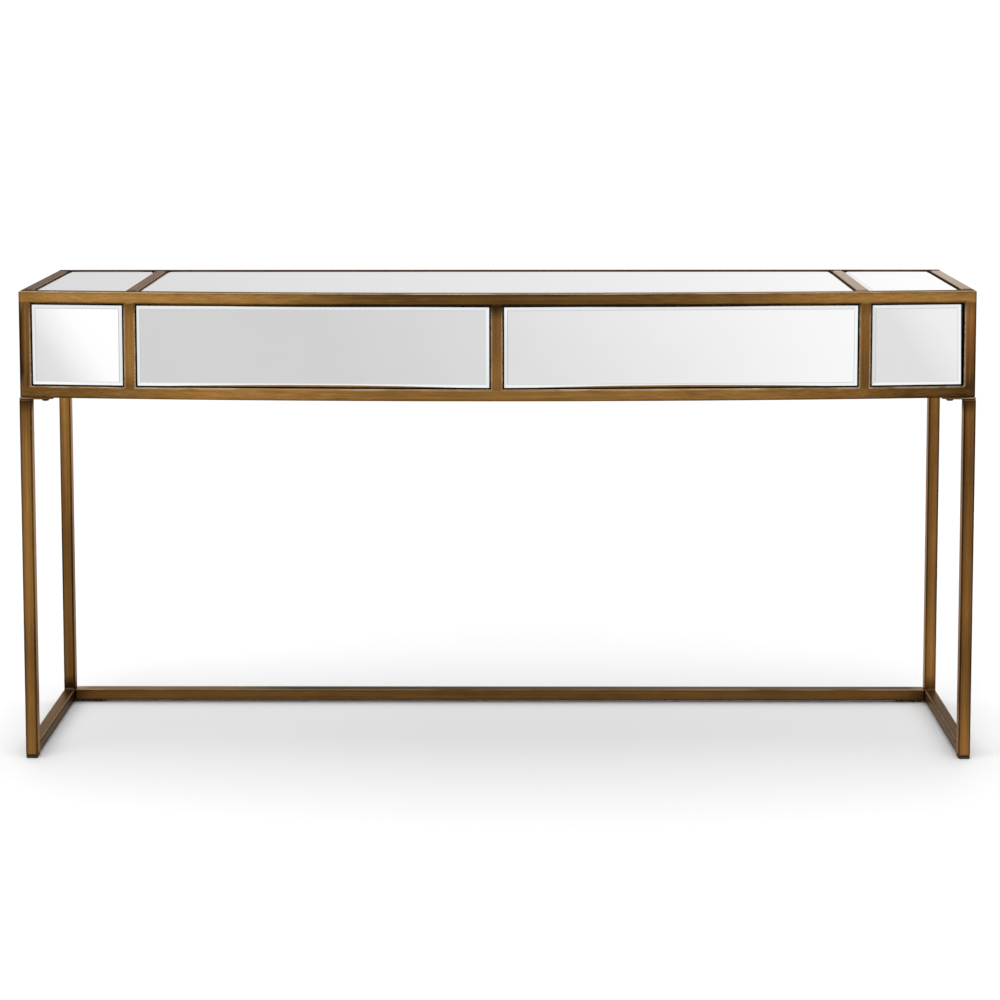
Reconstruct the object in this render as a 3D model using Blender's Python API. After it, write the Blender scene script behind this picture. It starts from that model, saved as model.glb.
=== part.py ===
"""Mirrored bow-front console table with two push-to-open drawers, in metres, Z up, front facing -Y."""

import math

import bmesh
import bpy

# ---------------------------------------------------------------- driving dimensions (metres)
WIDTH = 1.524  # over the outer faces of the legs
HEIGHT = 0.758  # floor to the top of the case frame
END_DEPTH = 0.406  # case depth at its two ends
BOW = 0.051  # how far the middle of the front stands ahead of its ends
CASE_INSET = 0.0015  # case end inside the outer face of a leg
CASE_BOTTOM = 0.588  # underside of the case frame

TUBE_W = 0.019  # tube, face width
TUBE_D = 0.025  # tube, front to back
TUBE_WALL = 0.0015
TUBE_R = 0.002  # outer corner radius of the tube
GAP = 0.0003  # clearance between touching pieces
MITRE = 0.00022  # each tube end stands back from its mitre line

DIVIDER_X = 0.582  # centre line of the outer dividers and top crossbars
PANEL_GAP = 0.002  # open line round every mirror panel
RECESS = 0.001  # mirror face behind the frame face
GLASS_T = 0.005
GLASS_BEVEL = 0.0075
GLASS_DROP = 0.0016
BOARD_T = 0.0127

GLIDE_H = 0.004
PLATE_T = 0.003
PLATE_L = 0.053
PLATE_SCREW_X = 0.040  # screw centre from the outer face of the leg
TAB_T = 0.0015
TAB_L = 0.055
TAB_SCREW_X = 0.034  # screw centre from the leg's inner face

PARTITION_T = 0.018
BOTTOM_T = 0.010
BACK_T = 0.008
BACK_INSET = 0.004

DRAWER_WALL = 0.012
DRAWER_BOX_Z = (0.622, 0.712)
DRAWER_FLOOR_T = 0.008
DRAWER_REAR_Y = 0.180
DRAWER_SIDE_ROOM = 0.003
RUNNER_W = 0.036  # fixed channel, with the drawer's channel nested in it
RUNNER_H = 0.0105
RUNNER_T = 0.0012
RUNNER_L = 0.360
RUNNER_REAR_Y = 0.172
DRAWER_TRAVEL = 0.260
LATCH_Z = 0.660

# ---------------------------------------------------------------- derived
HALF = WIDTH / 2
CASE_X = HALF - CASE_INSET
DEPTH = END_DEPTH + BOW
REAR_Y = DEPTH / 2
FRONT_Y = REAR_Y - END_DEPTH
TOP_RAIL_Z = HEIGHT - TUBE_W
LOW_RAIL_TOP = CASE_BOTTOM + TUBE_W
LEG_FRONT_Y = FRONT_Y - 0.001
INNER_X = CASE_X - TUBE_W  # inner face of the end frames


def arc(x):
    """Front face of the case frame at x."""
    return FRONT_Y - BOW * (1 - (x / CASE_X) ** 2)


def clear_scene():
    for obj in list(bpy.data.objects):
        bpy.data.objects.remove(obj, do_unlink=True)


# ---------------------------------------------------------------- materials
def material(name, colour, rough, metal):
    mat = bpy.data.materials.new(name)
    mat.use_nodes = True
    bsdf = mat.node_tree.nodes["Principled BSDF"]
    bsdf.inputs["Base Color"].default_value = (*colour, 1)
    bsdf.inputs["Roughness"].default_value = rough
    bsdf.inputs["Metallic"].default_value = metal
    mat.diffuse_color = (*colour, 1)
    return mat


def linear(r, g, b):
    return tuple(
        c / 12.92 if c <= 0.04045 else ((c + 0.055) / 1.055) ** 2.4
        for c in (r / 255, g / 255, b / 255)
    )


clear_scene()
BRASS = material("antique_brass", linear(139, 100, 52), 0.38, 0.9)
MIRROR = material("mirror", linear(228, 230, 231), 0.03, 1.0)
BOARD = material("black_board", linear(38, 35, 33), 0.75, 0.0)
PLY = material("drawer_wood", linear(196, 164, 122), 0.55, 0.0)
STEEL = material("zinc_steel", linear(176, 178, 180), 0.35, 1.0)
SCREW = material("screw_steel", linear(88, 78, 66), 0.42, 1.0)
PLASTIC = material("black_plastic", linear(28, 27, 26), 0.55, 0.0)


# ---------------------------------------------------------------- mesh helpers
def finish_mesh(bm, name, mat, angle=35):
    bmesh.ops.remove_doubles(bm, verts=bm.verts, dist=1e-6)
    bmesh.ops.recalc_face_normals(bm, faces=bm.faces)
    mesh = bpy.data.meshes.new(name)
    bm.to_mesh(mesh)
    bm.free()
    mesh.materials.append(mat)
    mesh.polygons.foreach_set("use_smooth", [True] * len(mesh.polygons))
    mesh.set_sharp_from_angle(angle=math.radians(angle))
    obj = bpy.data.objects.new(name, mesh)
    bpy.context.scene.collection.objects.link(obj)
    return obj


def rounded_rect(u0, v0, u1, v1, r, steps=2):
    """Loop of a rectangle with round corners, counter-clockwise."""
    if r <= 0:
        return [(u0, v0), (u1, v0), (u1, v1), (u0, v1)]
    loop = []
    corners = ((u1 - r, v0 + r, -90), (u1 - r, v1 - r, 0), (u0 + r, v1 - r, 90), (u0 + r, v0 + r, 180))
    for cu, cv, start in corners:
        for k in range(steps + 1):
            a = math.radians(start + 90 * k / steps)
            loop.append((cu + r * math.cos(a), cv + r * math.sin(a)))
    return loop


def tube_loops(w, h, wall=TUBE_WALL, r=TUBE_R):
    outer = rounded_rect(0, 0, w, h, r)
    inner = rounded_rect(wall, wall, w - wall, h - wall, max(r - wall, 0.0004))
    return outer, inner


def sweep_tube(name, maps, w, h, mat=None):
    """Hollow tube through a list of maps, each taking a section point (u, v) to space."""
    outer, inner = tube_loops(w, h)
    bm = bmesh.new()
    rings = []
    for place in maps:
        rings.append(
            (
                [bm.verts.new(place(u, v)) for u, v in outer],
                [bm.verts.new(place(u, v)) for u, v in inner],
            )
        )
    n = len(outer)
    for (oa, ia), (ob, ib) in zip(rings, rings[1:]):
        for j in range(n):
            k = (j + 1) % n
            bm.faces.new((oa[j], oa[k], ob[k], ob[j]))
            bm.faces.new((ia[k], ia[j], ib[j], ib[k]))
    for o, i in (rings[0], rings[-1]):
        for j in range(n):
            k = (j + 1) % n
            bm.faces.new((o[j], o[k], i[k], i[j]))
    return finish_mesh(bm, name, mat or BRASS)


def add_prism(bm, poly, lo, hi, place):
    """Closed prism: poly in the section plane, from lo to hi along the third direction."""
    a = [bm.verts.new(place(u, v, lo)) for u, v in poly]
    b = [bm.verts.new(place(u, v, hi)) for u, v in poly]
    n = len(poly)
    bm.faces.new(list(reversed(a)))
    bm.faces.new(b)
    for j in range(n):
        k = (j + 1) % n
        bm.faces.new((a[j], a[k], b[k], b[j]))


def along_z(u, v, w):
    return (u, v, w)


def along_y(u, v, w):
    return (u, w, v)


def along_x(u, v, w):
    return (w, u, v)


def prism(name, parts, mat, place=along_z, angle=35):
    """One node from one or more prisms, each (poly, lo, hi)."""
    bm = bmesh.new()
    for poly, lo, hi in parts:
        add_prism(bm, poly, lo, hi, place)
    return finish_mesh(bm, name, mat, angle)


def rect(u0, v0, u1, v1):
    return [(u0, v0), (u1, v0), (u1, v1), (u0, v1)]


def circle(cu, cv, r, n=20):
    return [(cu + r * math.cos(2 * math.pi * k / n), cv + r * math.sin(2 * math.pi * k / n)) for k in range(n)]


def inset(poly, d):
    """Convex counter-clockwise outline moved inward by d."""
    n = len(poly)
    lines = []
    for j in range(n):
        (x0, y0), (x1, y1) = poly[j], poly[(j + 1) % n]
        length = math.hypot(x1 - x0, y1 - y0)
        tx, ty = (x1 - x0) / length, (y1 - y0) / length
        lines.append((x0 - ty * d, y0 + tx * d, tx, ty))
    out = []
    for j in range(n):
        ax, ay, atx, aty = lines[j - 1]
        bx, by, btx, bty = lines[j]
        cross = atx * bty - aty * btx
        if abs(cross) < 1e-9:
            out.append((bx, by))
            continue
        t = ((bx - ax) * bty - (by - ay) * btx) / cross
        out.append((ax + atx * t, ay + aty * t))
    return out


def bevelled_glass(name, poly, place, backing=0.0, bevel=GLASS_BEVEL):
    """Mirror panel: poly is its outline, and place takes (u, v, w) to space, w measured ahead of the
    back of the glass. With backing, the glass is bonded to a board of that thickness behind it."""
    bm = bmesh.new()
    rings = [
        [bm.verts.new(place(u, v, -backing)) for u, v in poly],
        [bm.verts.new(place(u, v, GLASS_T - GLASS_DROP)) for u, v in poly],
        [bm.verts.new(place(u, v, GLASS_T)) for u, v in inset(poly, bevel)],
    ]
    n = len(poly)
    bm.faces.new(list(reversed(rings[0])))
    bm.faces.new(rings[2])
    for a, b in zip(rings, rings[1:]):
        for j in range(n):
            k = (j + 1) % n
            bm.faces.new((a[j], a[k], b[k], b[j]))
    return finish_mesh(bm, name, MIRROR, 3)


def arc_strip(x0, x1, offset, steps):
    """Points of the bow line pushed back by offset, from x0 to x1."""
    return [(x0 + (x1 - x0) * k / steps, arc(x0 + (x1 - x0) * k / steps) + offset) for k in range(steps + 1)]


def cut_holes(obj, holes, depth_lo, depth_hi):
    """Vertical round holes, each (x, y, radius), through obj between two heights."""
    bm = bmesh.new()
    for x, y, r in holes:
        add_prism(bm, circle(x, y, r), depth_lo, depth_hi, along_z)
    cutter = finish_mesh(bm, "cut_" + obj.name, BRASS)
    cutter.hide_render = True
    cutter.display_type = "WIRE"
    mod = obj.modifiers.new("holes", "BOOLEAN")
    mod.operation = "DIFFERENCE"
    mod.solver = "EXACT"
    mod.object = cutter


# ---------------------------------------------------------------- case frame
def bowed_rail(name, z0, steps=20):
    def end(side):
        def place(v, w):
            x = side * (CASE_X - MITRE - TUBE_W * v / TUBE_D)
            return (x, arc(x) + v, z0 + w)

        return place

    def mid(x):
        return lambda v, w: (x, arc(x) + v, z0 + w)

    span = INNER_X - 0.004
    maps = [end(-1)]
    maps += [mid(-span + 2 * span * k / steps) for k in range(steps + 1)]
    maps.append(end(1))
    return sweep_tube(name, maps, TUBE_D, TUBE_W)


def rear_rail(name, z0):
    def end(side):
        def place(v, w):
            return (side * (CASE_X - MITRE - TUBE_W * (1 - v / TUBE_D)), REAR_Y - TUBE_D + v, z0 + w)

        return place

    return sweep_tube(name, [end(-1), end(1)], TUBE_D, TUBE_W)


def end_rail(name, side, z0):
    def front(u, w):
        x = CASE_X - u
        return (side * x, arc(x) + TUBE_D * u / TUBE_W + MITRE, z0 + w)

    def rear(u, w):
        return (side * (CASE_X - u), REAR_Y - TUBE_D * u / TUBE_W - MITRE, z0 + w)

    return sweep_tube(name, [front, rear], TUBE_W, TUBE_W)


def front_upright(name, x0):
    """Vertical tube whose front face follows the bow."""
    def at(z):
        return lambda u, v: (x0 + u, arc(x0 + u) + v, z)

    return sweep_tube(name, [at(LOW_RAIL_TOP + GAP), at(TOP_RAIL_Z - GAP)], TUBE_W, TUBE_D)


def rear_upright(name, x0):
    def at(z):
        return lambda u, v: (x0 + u, REAR_Y - TUBE_D + v, z)

    return sweep_tube(name, [at(LOW_RAIL_TOP + GAP), at(TOP_RAIL_Z - GAP)], TUBE_W, TUBE_D)


bowed_rail("front_top_rail", TOP_RAIL_Z)
front_low = bowed_rail("front_bottom_rail", CASE_BOTTOM)
rear_rail("rear_top_rail", TOP_RAIL_Z)
rear_low = rear_rail("rear_bottom_rail", CASE_BOTTOM)
for side, label in ((-1, "left"), (1, "right")):
    end_rail(label + "_top_rail", side, TOP_RAIL_Z)
    end_rail(label + "_bottom_rail", side, CASE_BOTTOM)
    x0 = -CASE_X if side < 0 else CASE_X - TUBE_W
    front_upright("front_" + label + "_post", x0)
    rear_upright("rear_" + label + "_post", x0)
    front_upright(label + "_divider", side * DIVIDER_X - TUBE_W / 2)

    def crossbar(front, x0=side * DIVIDER_X - TUBE_W / 2):
        if front:
            return lambda u, w: (x0 + u, arc(x0 + u) + TUBE_D + GAP, TOP_RAIL_Z + w)
        return lambda u, w: (x0 + u, REAR_Y - TUBE_D - GAP, TOP_RAIL_Z + w)

    sweep_tube(label + "_top_crossbar", [crossbar(True), crossbar(False)], TUBE_W, TUBE_W)
front_upright("center_divider", -TUBE_W / 2)


# ---------------------------------------------------------------- base
def plate_outline(side, y0):
    """Leg-top plate: as wide as the leg, with a tapered inner end, counter-clockwise."""
    outline = [
        (0, 0),
        (PLATE_L - 0.008, 0),
        (PLATE_L, 0.007),
        (PLATE_L, TUBE_D - 0.007),
        (PLATE_L - 0.008, TUBE_D),
        (0, TUBE_D),
    ]
    points = [(side * (HALF - u), y0 + v) for u, v in outline]
    return points if side < 0 else list(reversed(points))


PLATE_UNDER = CASE_BOTTOM - GAP - PLATE_T
LEG_SPOTS = []
for side, label in ((-1, "left"), (1, "right")):
    x0 = -HALF if side < 0 else HALF - TUBE_W
    for where, y0 in (("front", LEG_FRONT_Y), ("rear", REAR_Y - TUBE_D)):
        LEG_SPOTS.append((where + "_" + label, side, x0, y0))
    sweep_tube(
        label + "_floor_rail",
        [
            lambda u, w, x0=x0: (x0 + u, LEG_FRONT_Y + TUBE_D + GAP, GLIDE_H + GAP + w),
            lambda u, w, x0=x0: (x0 + u, REAR_Y - TUBE_D - GAP, GLIDE_H + GAP + w),
        ],
        TUBE_W,
        TUBE_W,
    )


def leg(name, side, x0, y0):
    """Tube leg and its top plate joined by a union, with the plate's screw hole."""
    obj = sweep_tube(
        name,
        [lambda u, v: (x0 + u, y0 + v, GLIDE_H + GAP), lambda u, v: (x0 + u, y0 + v, PLATE_UNDER + PLATE_T / 2)],
        TUBE_W,
        TUBE_D,
    )
    plate = prism("plate_" + name, [(plate_outline(side, y0), PLATE_UNDER, PLATE_UNDER + PLATE_T)], BRASS)
    plate.hide_render = True
    plate.display_type = "WIRE"
    join = obj.modifiers.new("plate", "BOOLEAN")
    join.operation = "UNION"
    join.solver = "EXACT"
    join.object = plate
    return obj


STRETCHER_X = HALF - TUBE_W - GAP
STRETCHER_Z = GLIDE_H + GAP
stretcher = sweep_tube(
    "rear_stretcher",
    [
        lambda v, w: (-STRETCHER_X, REAR_Y - TUBE_D + v, STRETCHER_Z + w),
        lambda v, w: (STRETCHER_X, REAR_Y - TUBE_D + v, STRETCHER_Z + w),
    ],
    TUBE_D,
    TUBE_W,
)

PLATE_SCREWS = {}
for spot, side, x0, y0 in LEG_SPOTS:
    x, y = side * (HALF - PLATE_SCREW_X), y0 + TUBE_D / 2
    PLATE_SCREWS[spot] = (x, y)
    cut_holes(leg(spot + "_leg", side, x0, y0), [(x, y, 0.0034)], PLATE_UNDER - 0.002, PLATE_UNDER + PLATE_T + GAP / 2)
for rail, where in ((front_low, "front"), (rear_low, "rear")):
    holes = [(x, y, 0.0033) for spot, (x, y) in PLATE_SCREWS.items() if spot.startswith(where)]
    cut_holes(rail, holes, CASE_BOTTOM - 0.001, CASE_BOTTOM + 0.004)

TAB_Z = STRETCHER_Z - GAP - TAB_T
TAB_SCREWS = {}
for side, label in ((-1, "left"), (1, "right")):
    xs = sorted((side * STRETCHER_X, side * (STRETCHER_X - TAB_L)))
    outline = rect(xs[0], REAR_Y - TUBE_D + 0.003, xs[1], REAR_Y - 0.003)
    tab = prism(label + "_stretcher_tab", [(outline, TAB_Z, TAB_Z + TAB_T)], BRASS)
    x, y = side * (STRETCHER_X - TAB_SCREW_X), REAR_Y - TUBE_D / 2
    TAB_SCREWS[label] = (x, y)
    cut_holes(tab, [(x, y, 0.0026)], TAB_Z - 0.001, STRETCHER_Z - GAP / 2)
cut_holes(stretcher, [(x, y, 0.0025) for x, y in TAB_SCREWS.values()], STRETCHER_Z - 0.001, STRETCHER_Z + 0.004)


def screw(bm, x, y, z_head, head_r, head_h, shank_r, shank_l, n=16):
    """Pan-head screw pointing up, with a cross-shaped blind recess left out and a domed head."""
    profile = [(0.55 * head_r, 0.0), (0.86 * head_r, 0.22 * head_h), (head_r, 0.6 * head_h), (head_r, head_h),
               (shank_r, head_h), (shank_r, head_h + shank_l - 0.0006), (shank_r - 0.0006, head_h + shank_l)]
    rings = [
        [bm.verts.new((x + r * math.cos(2 * math.pi * k / n), y + r * math.sin(2 * math.pi * k / n), z_head + h)) for k in range(n)]
        for r, h in profile
    ]
    bm.faces.new(list(reversed(rings[0])))
    bm.faces.new(rings[-1])
    for a, b in zip(rings, rings[1:]):
        for j in range(n):
            k = (j + 1) % n
            bm.faces.new((a[j], a[k], b[k], b[j]))


def one_screw(name, x, y, z_head, *size):
    bm = bmesh.new()
    screw(bm, x, y, z_head, *size)
    return finish_mesh(bm, name, SCREW)


for spot, (x, y) in PLATE_SCREWS.items():
    one_screw(spot + "_plate_screw", x, y, PLATE_UNDER - GAP - 0.0034, 0.0058, 0.0034, 0.003, 0.0096)
for label, (x, y) in TAB_SCREWS.items():
    one_screw(label + "_tab_screw", x, y, TAB_Z - GAP - 0.0016, 0.0048, 0.0016, 0.0022, 0.0068, 12)


def glide(bm, x0, y0):
    """Foot cap: a floor pad as wide as the tube, and a plug inside it."""
    levels = [
        (rounded_rect(0.0012, 0.0012, TUBE_W - 0.0012, TUBE_D - 0.0012, TUBE_R), 0.0),
        (rounded_rect(0, 0, TUBE_W, TUBE_D, TUBE_R), 0.0012),
        (rounded_rect(0, 0, TUBE_W, TUBE_D, TUBE_R), GLIDE_H),
        (rounded_rect(TUBE_WALL + GAP, TUBE_WALL + GAP, TUBE_W - TUBE_WALL - GAP, TUBE_D - TUBE_WALL - GAP, 0.0008), GLIDE_H),
        (rounded_rect(TUBE_WALL + GAP, TUBE_WALL + GAP, TUBE_W - TUBE_WALL - GAP, TUBE_D - TUBE_WALL - GAP, 0.0008), 0.017),
    ]
    rings = [[bm.verts.new((x0 + u, y0 + v, z)) for u, v in loop] for loop, z in levels]
    n = len(rings[0])
    bm.faces.new(list(reversed(rings[0])))
    bm.faces.new(rings[-1])
    for a, b in zip(rings, rings[1:]):
        for j in range(n):
            k = (j + 1) % n
            bm.faces.new((a[j], a[k], b[k], b[j]))


for spot, side, x0, y0 in LEG_SPOTS:
    pad = bmesh.new()
    glide(pad, x0, y0)
    finish_mesh(pad, spot + "_glide", PLASTIC)

# ---------------------------------------------------------------- top
TOP_GLASS_Z = HEIGHT - RECESS - GLASS_T
TOP_BAYS = {
    "left": (-INNER_X, -DIVIDER_X - TUBE_W / 2, 4),
    "center": (-DIVIDER_X + TUBE_W / 2, DIVIDER_X - TUBE_W / 2, 16),
    "right": (DIVIDER_X + TUBE_W / 2, INNER_X, 4),
}


def bay_outline(x0, x1, steps, gap):
    front = arc_strip(x0 + gap, x1 - gap, TUBE_D + gap, steps)
    rear = REAR_Y - TUBE_D - gap
    return front + [(x1 - gap, rear), (x0 + gap, rear)]


for label, (x0, x1, steps) in TOP_BAYS.items():
    bevelled_glass(
        "top_" + label + "_mirror_panel",
        bay_outline(x0, x1, steps, PANEL_GAP),
        lambda u, v, w: (u, v, TOP_GLASS_Z + w),
        BOARD_T,
    )

# ---------------------------------------------------------------- front panels: end bays fixed, middle bays on drawers
PANEL_Z = (LOW_RAIL_TOP + PANEL_GAP, TOP_RAIL_Z - PANEL_GAP)
FRONT_BAYS = {
    "front_left": (-INNER_X, -DIVIDER_X - TUBE_W / 2),
    "left_drawer": (-DIVIDER_X + TUBE_W / 2, -TUBE_W / 2),
    "right_drawer": (TUBE_W / 2, DIVIDER_X - TUBE_W / 2),
    "front_right": (DIVIDER_X + TUBE_W / 2, INNER_X),
}


def face_line(bay):
    """Flat panel's face, as y of x: a chord of the bow, set back by RECESS."""
    xa, xb = FRONT_BAYS[bay]
    ya, yb = arc(xa) + RECESS, arc(xb) + RECESS
    slope = (yb - ya) / (xb - xa)
    return (lambda x: ya + slope * (x - xa)), slope


def front_mirror(name, bay, backing=0.0):
    face, slope = face_line(bay)
    xa, xb = (FRONT_BAYS[bay][0] + PANEL_GAP, FRONT_BAYS[bay][1] - PANEL_GAP)
    stretch = math.sqrt(1 + slope * slope)
    outline = rect(xa, PANEL_Z[0], xb, PANEL_Z[1])
    return bevelled_glass(name, outline, lambda u, v, w: (u, face(u) + (GLASS_T - w) * stretch, v), backing)


def panel_board(bay):
    """Backing board outline in plan, between the glass and the inside of the case."""
    face, slope = face_line(bay)
    stretch = math.sqrt(1 + slope * slope)
    xa, xb = (FRONT_BAYS[bay][0] + PANEL_GAP, FRONT_BAYS[bay][1] - PANEL_GAP)
    near, far = (GLASS_T + GAP) * stretch, (GLASS_T + GAP + BOARD_T) * stretch
    return [(xa, face(xa) + near), (xb, face(xb) + near), (xb, face(xb) + far), (xa, face(xa) + far)], far


front_mirror("front_left_mirror_panel", "front_left", BOARD_T)
front_mirror("front_right_mirror_panel", "front_right", BOARD_T)

SIDE_Y = (arc(CASE_X - TUBE_W / 2) + TUBE_D + 0.0015 + PANEL_GAP, REAR_Y - TUBE_D - PANEL_GAP)
GLASS_X = CASE_X - RECESS
for side, label in ((-1, "left"), (1, "right")):
    outline = rect(SIDE_Y[0], PANEL_Z[0], SIDE_Y[1], PANEL_Z[1])
    bevelled_glass(
        label + "_side_mirror_panel",
        outline,
        lambda u, v, w, side=side: (side * (GLASS_X - GLASS_T + w), u, v),
        BOARD_T,
    )

# ---------------------------------------------------------------- carcass
BACK_Y = (REAR_Y - BACK_INSET - BACK_T, REAR_Y - BACK_INSET)
prism(
    "bottom_panel",
    [(bay_outline(-INNER_X, INNER_X, 20, 0.0006), LOW_RAIL_TOP - BOTTOM_T, LOW_RAIL_TOP)],
    BOARD,
)
prism(
    "back_panel",
    [(rect(-INNER_X + 0.0005, LOW_RAIL_TOP + 0.0005, INNER_X - 0.0005, TOP_RAIL_Z - 0.0005), *BACK_Y)],
    BOARD,
    along_y,
)


def partition(name, x):
    """Upright board behind a divider, its front edge following the back of that divider."""
    x0, x1 = x - PARTITION_T / 2, x + PARTITION_T / 2
    outline = [(x0, arc(x0) + TUBE_D + GAP), (x1, arc(x1) + TUBE_D + GAP), (x1, BACK_Y[0] - GAP), (x0, BACK_Y[0] - GAP)]
    return prism(name, [(outline, LOW_RAIL_TOP + GAP, TOP_RAIL_Z - GAP)], BOARD)


partition("left_partition", -DIVIDER_X)
partition("center_partition", 0.0)
partition("right_partition", DIVIDER_X)


# ---------------------------------------------------------------- runners and latches
def channel(x, z, width, height, up):
    """U section in (x, z) about centre line x: its web lies at z, its flanges run up or down."""
    t, h, s = RUNNER_T, width / 2, 1 if up else -1
    points = [(-h, 0), (h, 0), (h, s * height), (h - t, s * height), (h - t, s * t), (-h + t, s * t), (-h + t, s * height), (-h, s * height)]
    return [(x + u, z + v) for u, v in points]


BOX_X = {
    "left": (-DIVIDER_X + PARTITION_T / 2 + DRAWER_SIDE_ROOM, -PARTITION_T / 2 - DRAWER_SIDE_ROOM),
    "right": (PARTITION_T / 2 + DRAWER_SIDE_ROOM, DIVIDER_X - PARTITION_T / 2 - DRAWER_SIDE_ROOM),
}
RUNNER_Y = (RUNNER_REAR_Y - RUNNER_L, RUNNER_REAR_Y)


def push_latch(name, xm):
    """Touch latch on the back panel: a rounded body, then a round tip that meets the drawer's back."""
    body = rounded_rect(xm - 0.008, LATCH_Z - 0.011, xm + 0.008, LATCH_Z + 0.011, 0.003, 3)
    turns = [math.radians(-90 + 90 * q + 15 + 20 * k) for q in range(4) for k in range(4)]
    tip = [(xm + 0.0042 * math.cos(a), LATCH_Z + 0.0042 * math.sin(a)) for a in turns]
    shoulder, end = DRAWER_REAR_Y + 0.012, DRAWER_REAR_Y + GAP
    bm = bmesh.new()
    levels = [(body, BACK_Y[0] - GAP), (body, shoulder), (tip, shoulder), (tip, end)]
    rings = [[bm.verts.new((u, y, v)) for u, v in loop] for loop, y in levels]
    n = len(rings[0])
    bm.faces.new(rings[0])
    bm.faces.new(list(reversed(rings[-1])))
    for lower, upper in zip(rings, rings[1:]):
        for j in range(n):
            k = (j + 1) % n
            bm.faces.new((lower[k], lower[j], upper[j], upper[k]))
    return finish_mesh(bm, name, PLASTIC)


for label, (xa, xb) in BOX_X.items():
    xm = (xa + xb) / 2
    section = channel(xm, LOW_RAIL_TOP + GAP, RUNNER_W, RUNNER_H, True)
    prism(label + "_case_runner", [(section, *RUNNER_Y)], STEEL, along_y)
    push_latch(label + "_push_latch", xm)


# ---------------------------------------------------------------- drawers, each under an empty on its slide line
def drawer_box(name, outer, inner, z0, z1):
    """Open-topped box: outer and inner plans have matching corners, and the floor joins them."""
    zf = z0 + DRAWER_FLOOR_T
    bm = bmesh.new()
    rings = [[bm.verts.new((x, y, z)) for x, y in plan] for plan, z in ((outer, z0), (outer, z1), (inner, z1), (inner, zf))]
    bm.faces.new(list(reversed(rings[0])))
    bm.faces.new(rings[-1])
    n = len(outer)
    for a, b in zip(rings, rings[1:]):
        for j in range(n):
            k = (j + 1) % n
            bm.faces.new((a[j], a[k], b[k], b[j]))
    return finish_mesh(bm, name, PLY)


def drawer(label):
    bay = label + "_drawer"
    xa, xb = BOX_X[label]
    xm = (xa + xb) / 2
    slide = bpy.data.objects.new(bay + "_slide", None)
    slide.location = (xm, arc(xm), LOW_RAIL_TOP + RUNNER_H)
    bpy.context.scene.collection.objects.link(slide)
    face, slope = face_line(bay)
    outline, far = panel_board(bay)

    def behind(x, extra=0.0):
        return face(x) + far + GAP + extra

    t = DRAWER_WALL
    outer = [(xa, behind(xa)), (xb, behind(xb)), (xb, DRAWER_REAR_Y), (xa, DRAWER_REAR_Y)]
    inner = [(xa + t, behind(xa + t, t)), (xb - t, behind(xb - t, t)), (xb - t, DRAWER_REAR_Y - t), (xa + t, DRAWER_REAR_Y - t)]
    section = channel(xm, DRAWER_BOX_Z[0] - GAP, RUNNER_W - 2 * RUNNER_T - 0.0024, RUNNER_H, False)
    pieces = [
        front_mirror(bay + "_mirror", bay),
        prism(bay + "_front", [(outline, *PANEL_Z)], BOARD),
        drawer_box(bay + "_box", outer, inner, *DRAWER_BOX_Z),
        prism(bay + "_runner", [(section, *RUNNER_Y)], STEEL, along_y),
    ]
    bpy.context.view_layer.update()
    for piece in pieces:
        piece.parent = slide
        piece.matrix_parent_inverse = slide.matrix_world.inverted()


drawer("left")
drawer("right")
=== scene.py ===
"""Mirrored bow-front console table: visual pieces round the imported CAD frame, studio and camera."""

import math

import bmesh
import bpy
import numpy as np
from mathutils import Matrix, Vector, noise


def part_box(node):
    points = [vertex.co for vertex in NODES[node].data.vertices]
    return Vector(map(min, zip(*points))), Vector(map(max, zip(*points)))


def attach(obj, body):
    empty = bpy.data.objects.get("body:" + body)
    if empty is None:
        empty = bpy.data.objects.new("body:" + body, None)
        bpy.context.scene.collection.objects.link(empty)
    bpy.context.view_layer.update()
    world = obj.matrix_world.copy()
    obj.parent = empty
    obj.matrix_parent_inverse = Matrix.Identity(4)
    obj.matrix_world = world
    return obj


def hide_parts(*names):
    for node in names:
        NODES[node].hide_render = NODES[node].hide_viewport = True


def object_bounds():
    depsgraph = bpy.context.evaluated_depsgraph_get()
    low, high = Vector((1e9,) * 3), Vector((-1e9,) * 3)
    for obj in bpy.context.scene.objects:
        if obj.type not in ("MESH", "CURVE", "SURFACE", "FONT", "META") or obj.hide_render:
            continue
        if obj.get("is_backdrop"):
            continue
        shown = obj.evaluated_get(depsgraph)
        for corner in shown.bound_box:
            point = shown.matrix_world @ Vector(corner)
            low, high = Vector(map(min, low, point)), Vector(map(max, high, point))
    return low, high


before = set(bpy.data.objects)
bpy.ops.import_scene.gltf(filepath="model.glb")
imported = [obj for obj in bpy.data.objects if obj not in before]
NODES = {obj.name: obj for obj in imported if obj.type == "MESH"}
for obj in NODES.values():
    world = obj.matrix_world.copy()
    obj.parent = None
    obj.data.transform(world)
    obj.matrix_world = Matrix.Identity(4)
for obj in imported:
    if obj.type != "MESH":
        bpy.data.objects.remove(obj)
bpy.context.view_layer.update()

# ---------------------------------------------------------------- what the CAD says (metres)
CASE_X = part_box("right_top_rail")[1].x
INNER_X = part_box("right_top_rail")[0].x
REAR_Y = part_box("rear_top_rail")[1].y
TUBE_D = REAR_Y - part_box("rear_top_rail")[0].y
FRONT_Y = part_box("front_left_post")[1].y - TUBE_D
APEX_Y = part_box("front_top_rail")[0].y
TOP_Z0, TOP_Z1 = (v.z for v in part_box("rear_top_rail"))
LOW_Z0, LOW_Z1 = (v.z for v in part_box("rear_bottom_rail"))
TUBE_W = TOP_Z1 - TOP_Z0
DIV_X0, DIV_X1 = (v.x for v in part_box("right_divider"))
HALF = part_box("front_right_glide")[1].x
LEG_Y0, LEG_Y1 = (v.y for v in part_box("front_left_glide"))
GLIDE_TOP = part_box("left_floor_rail")[0].z
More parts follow.
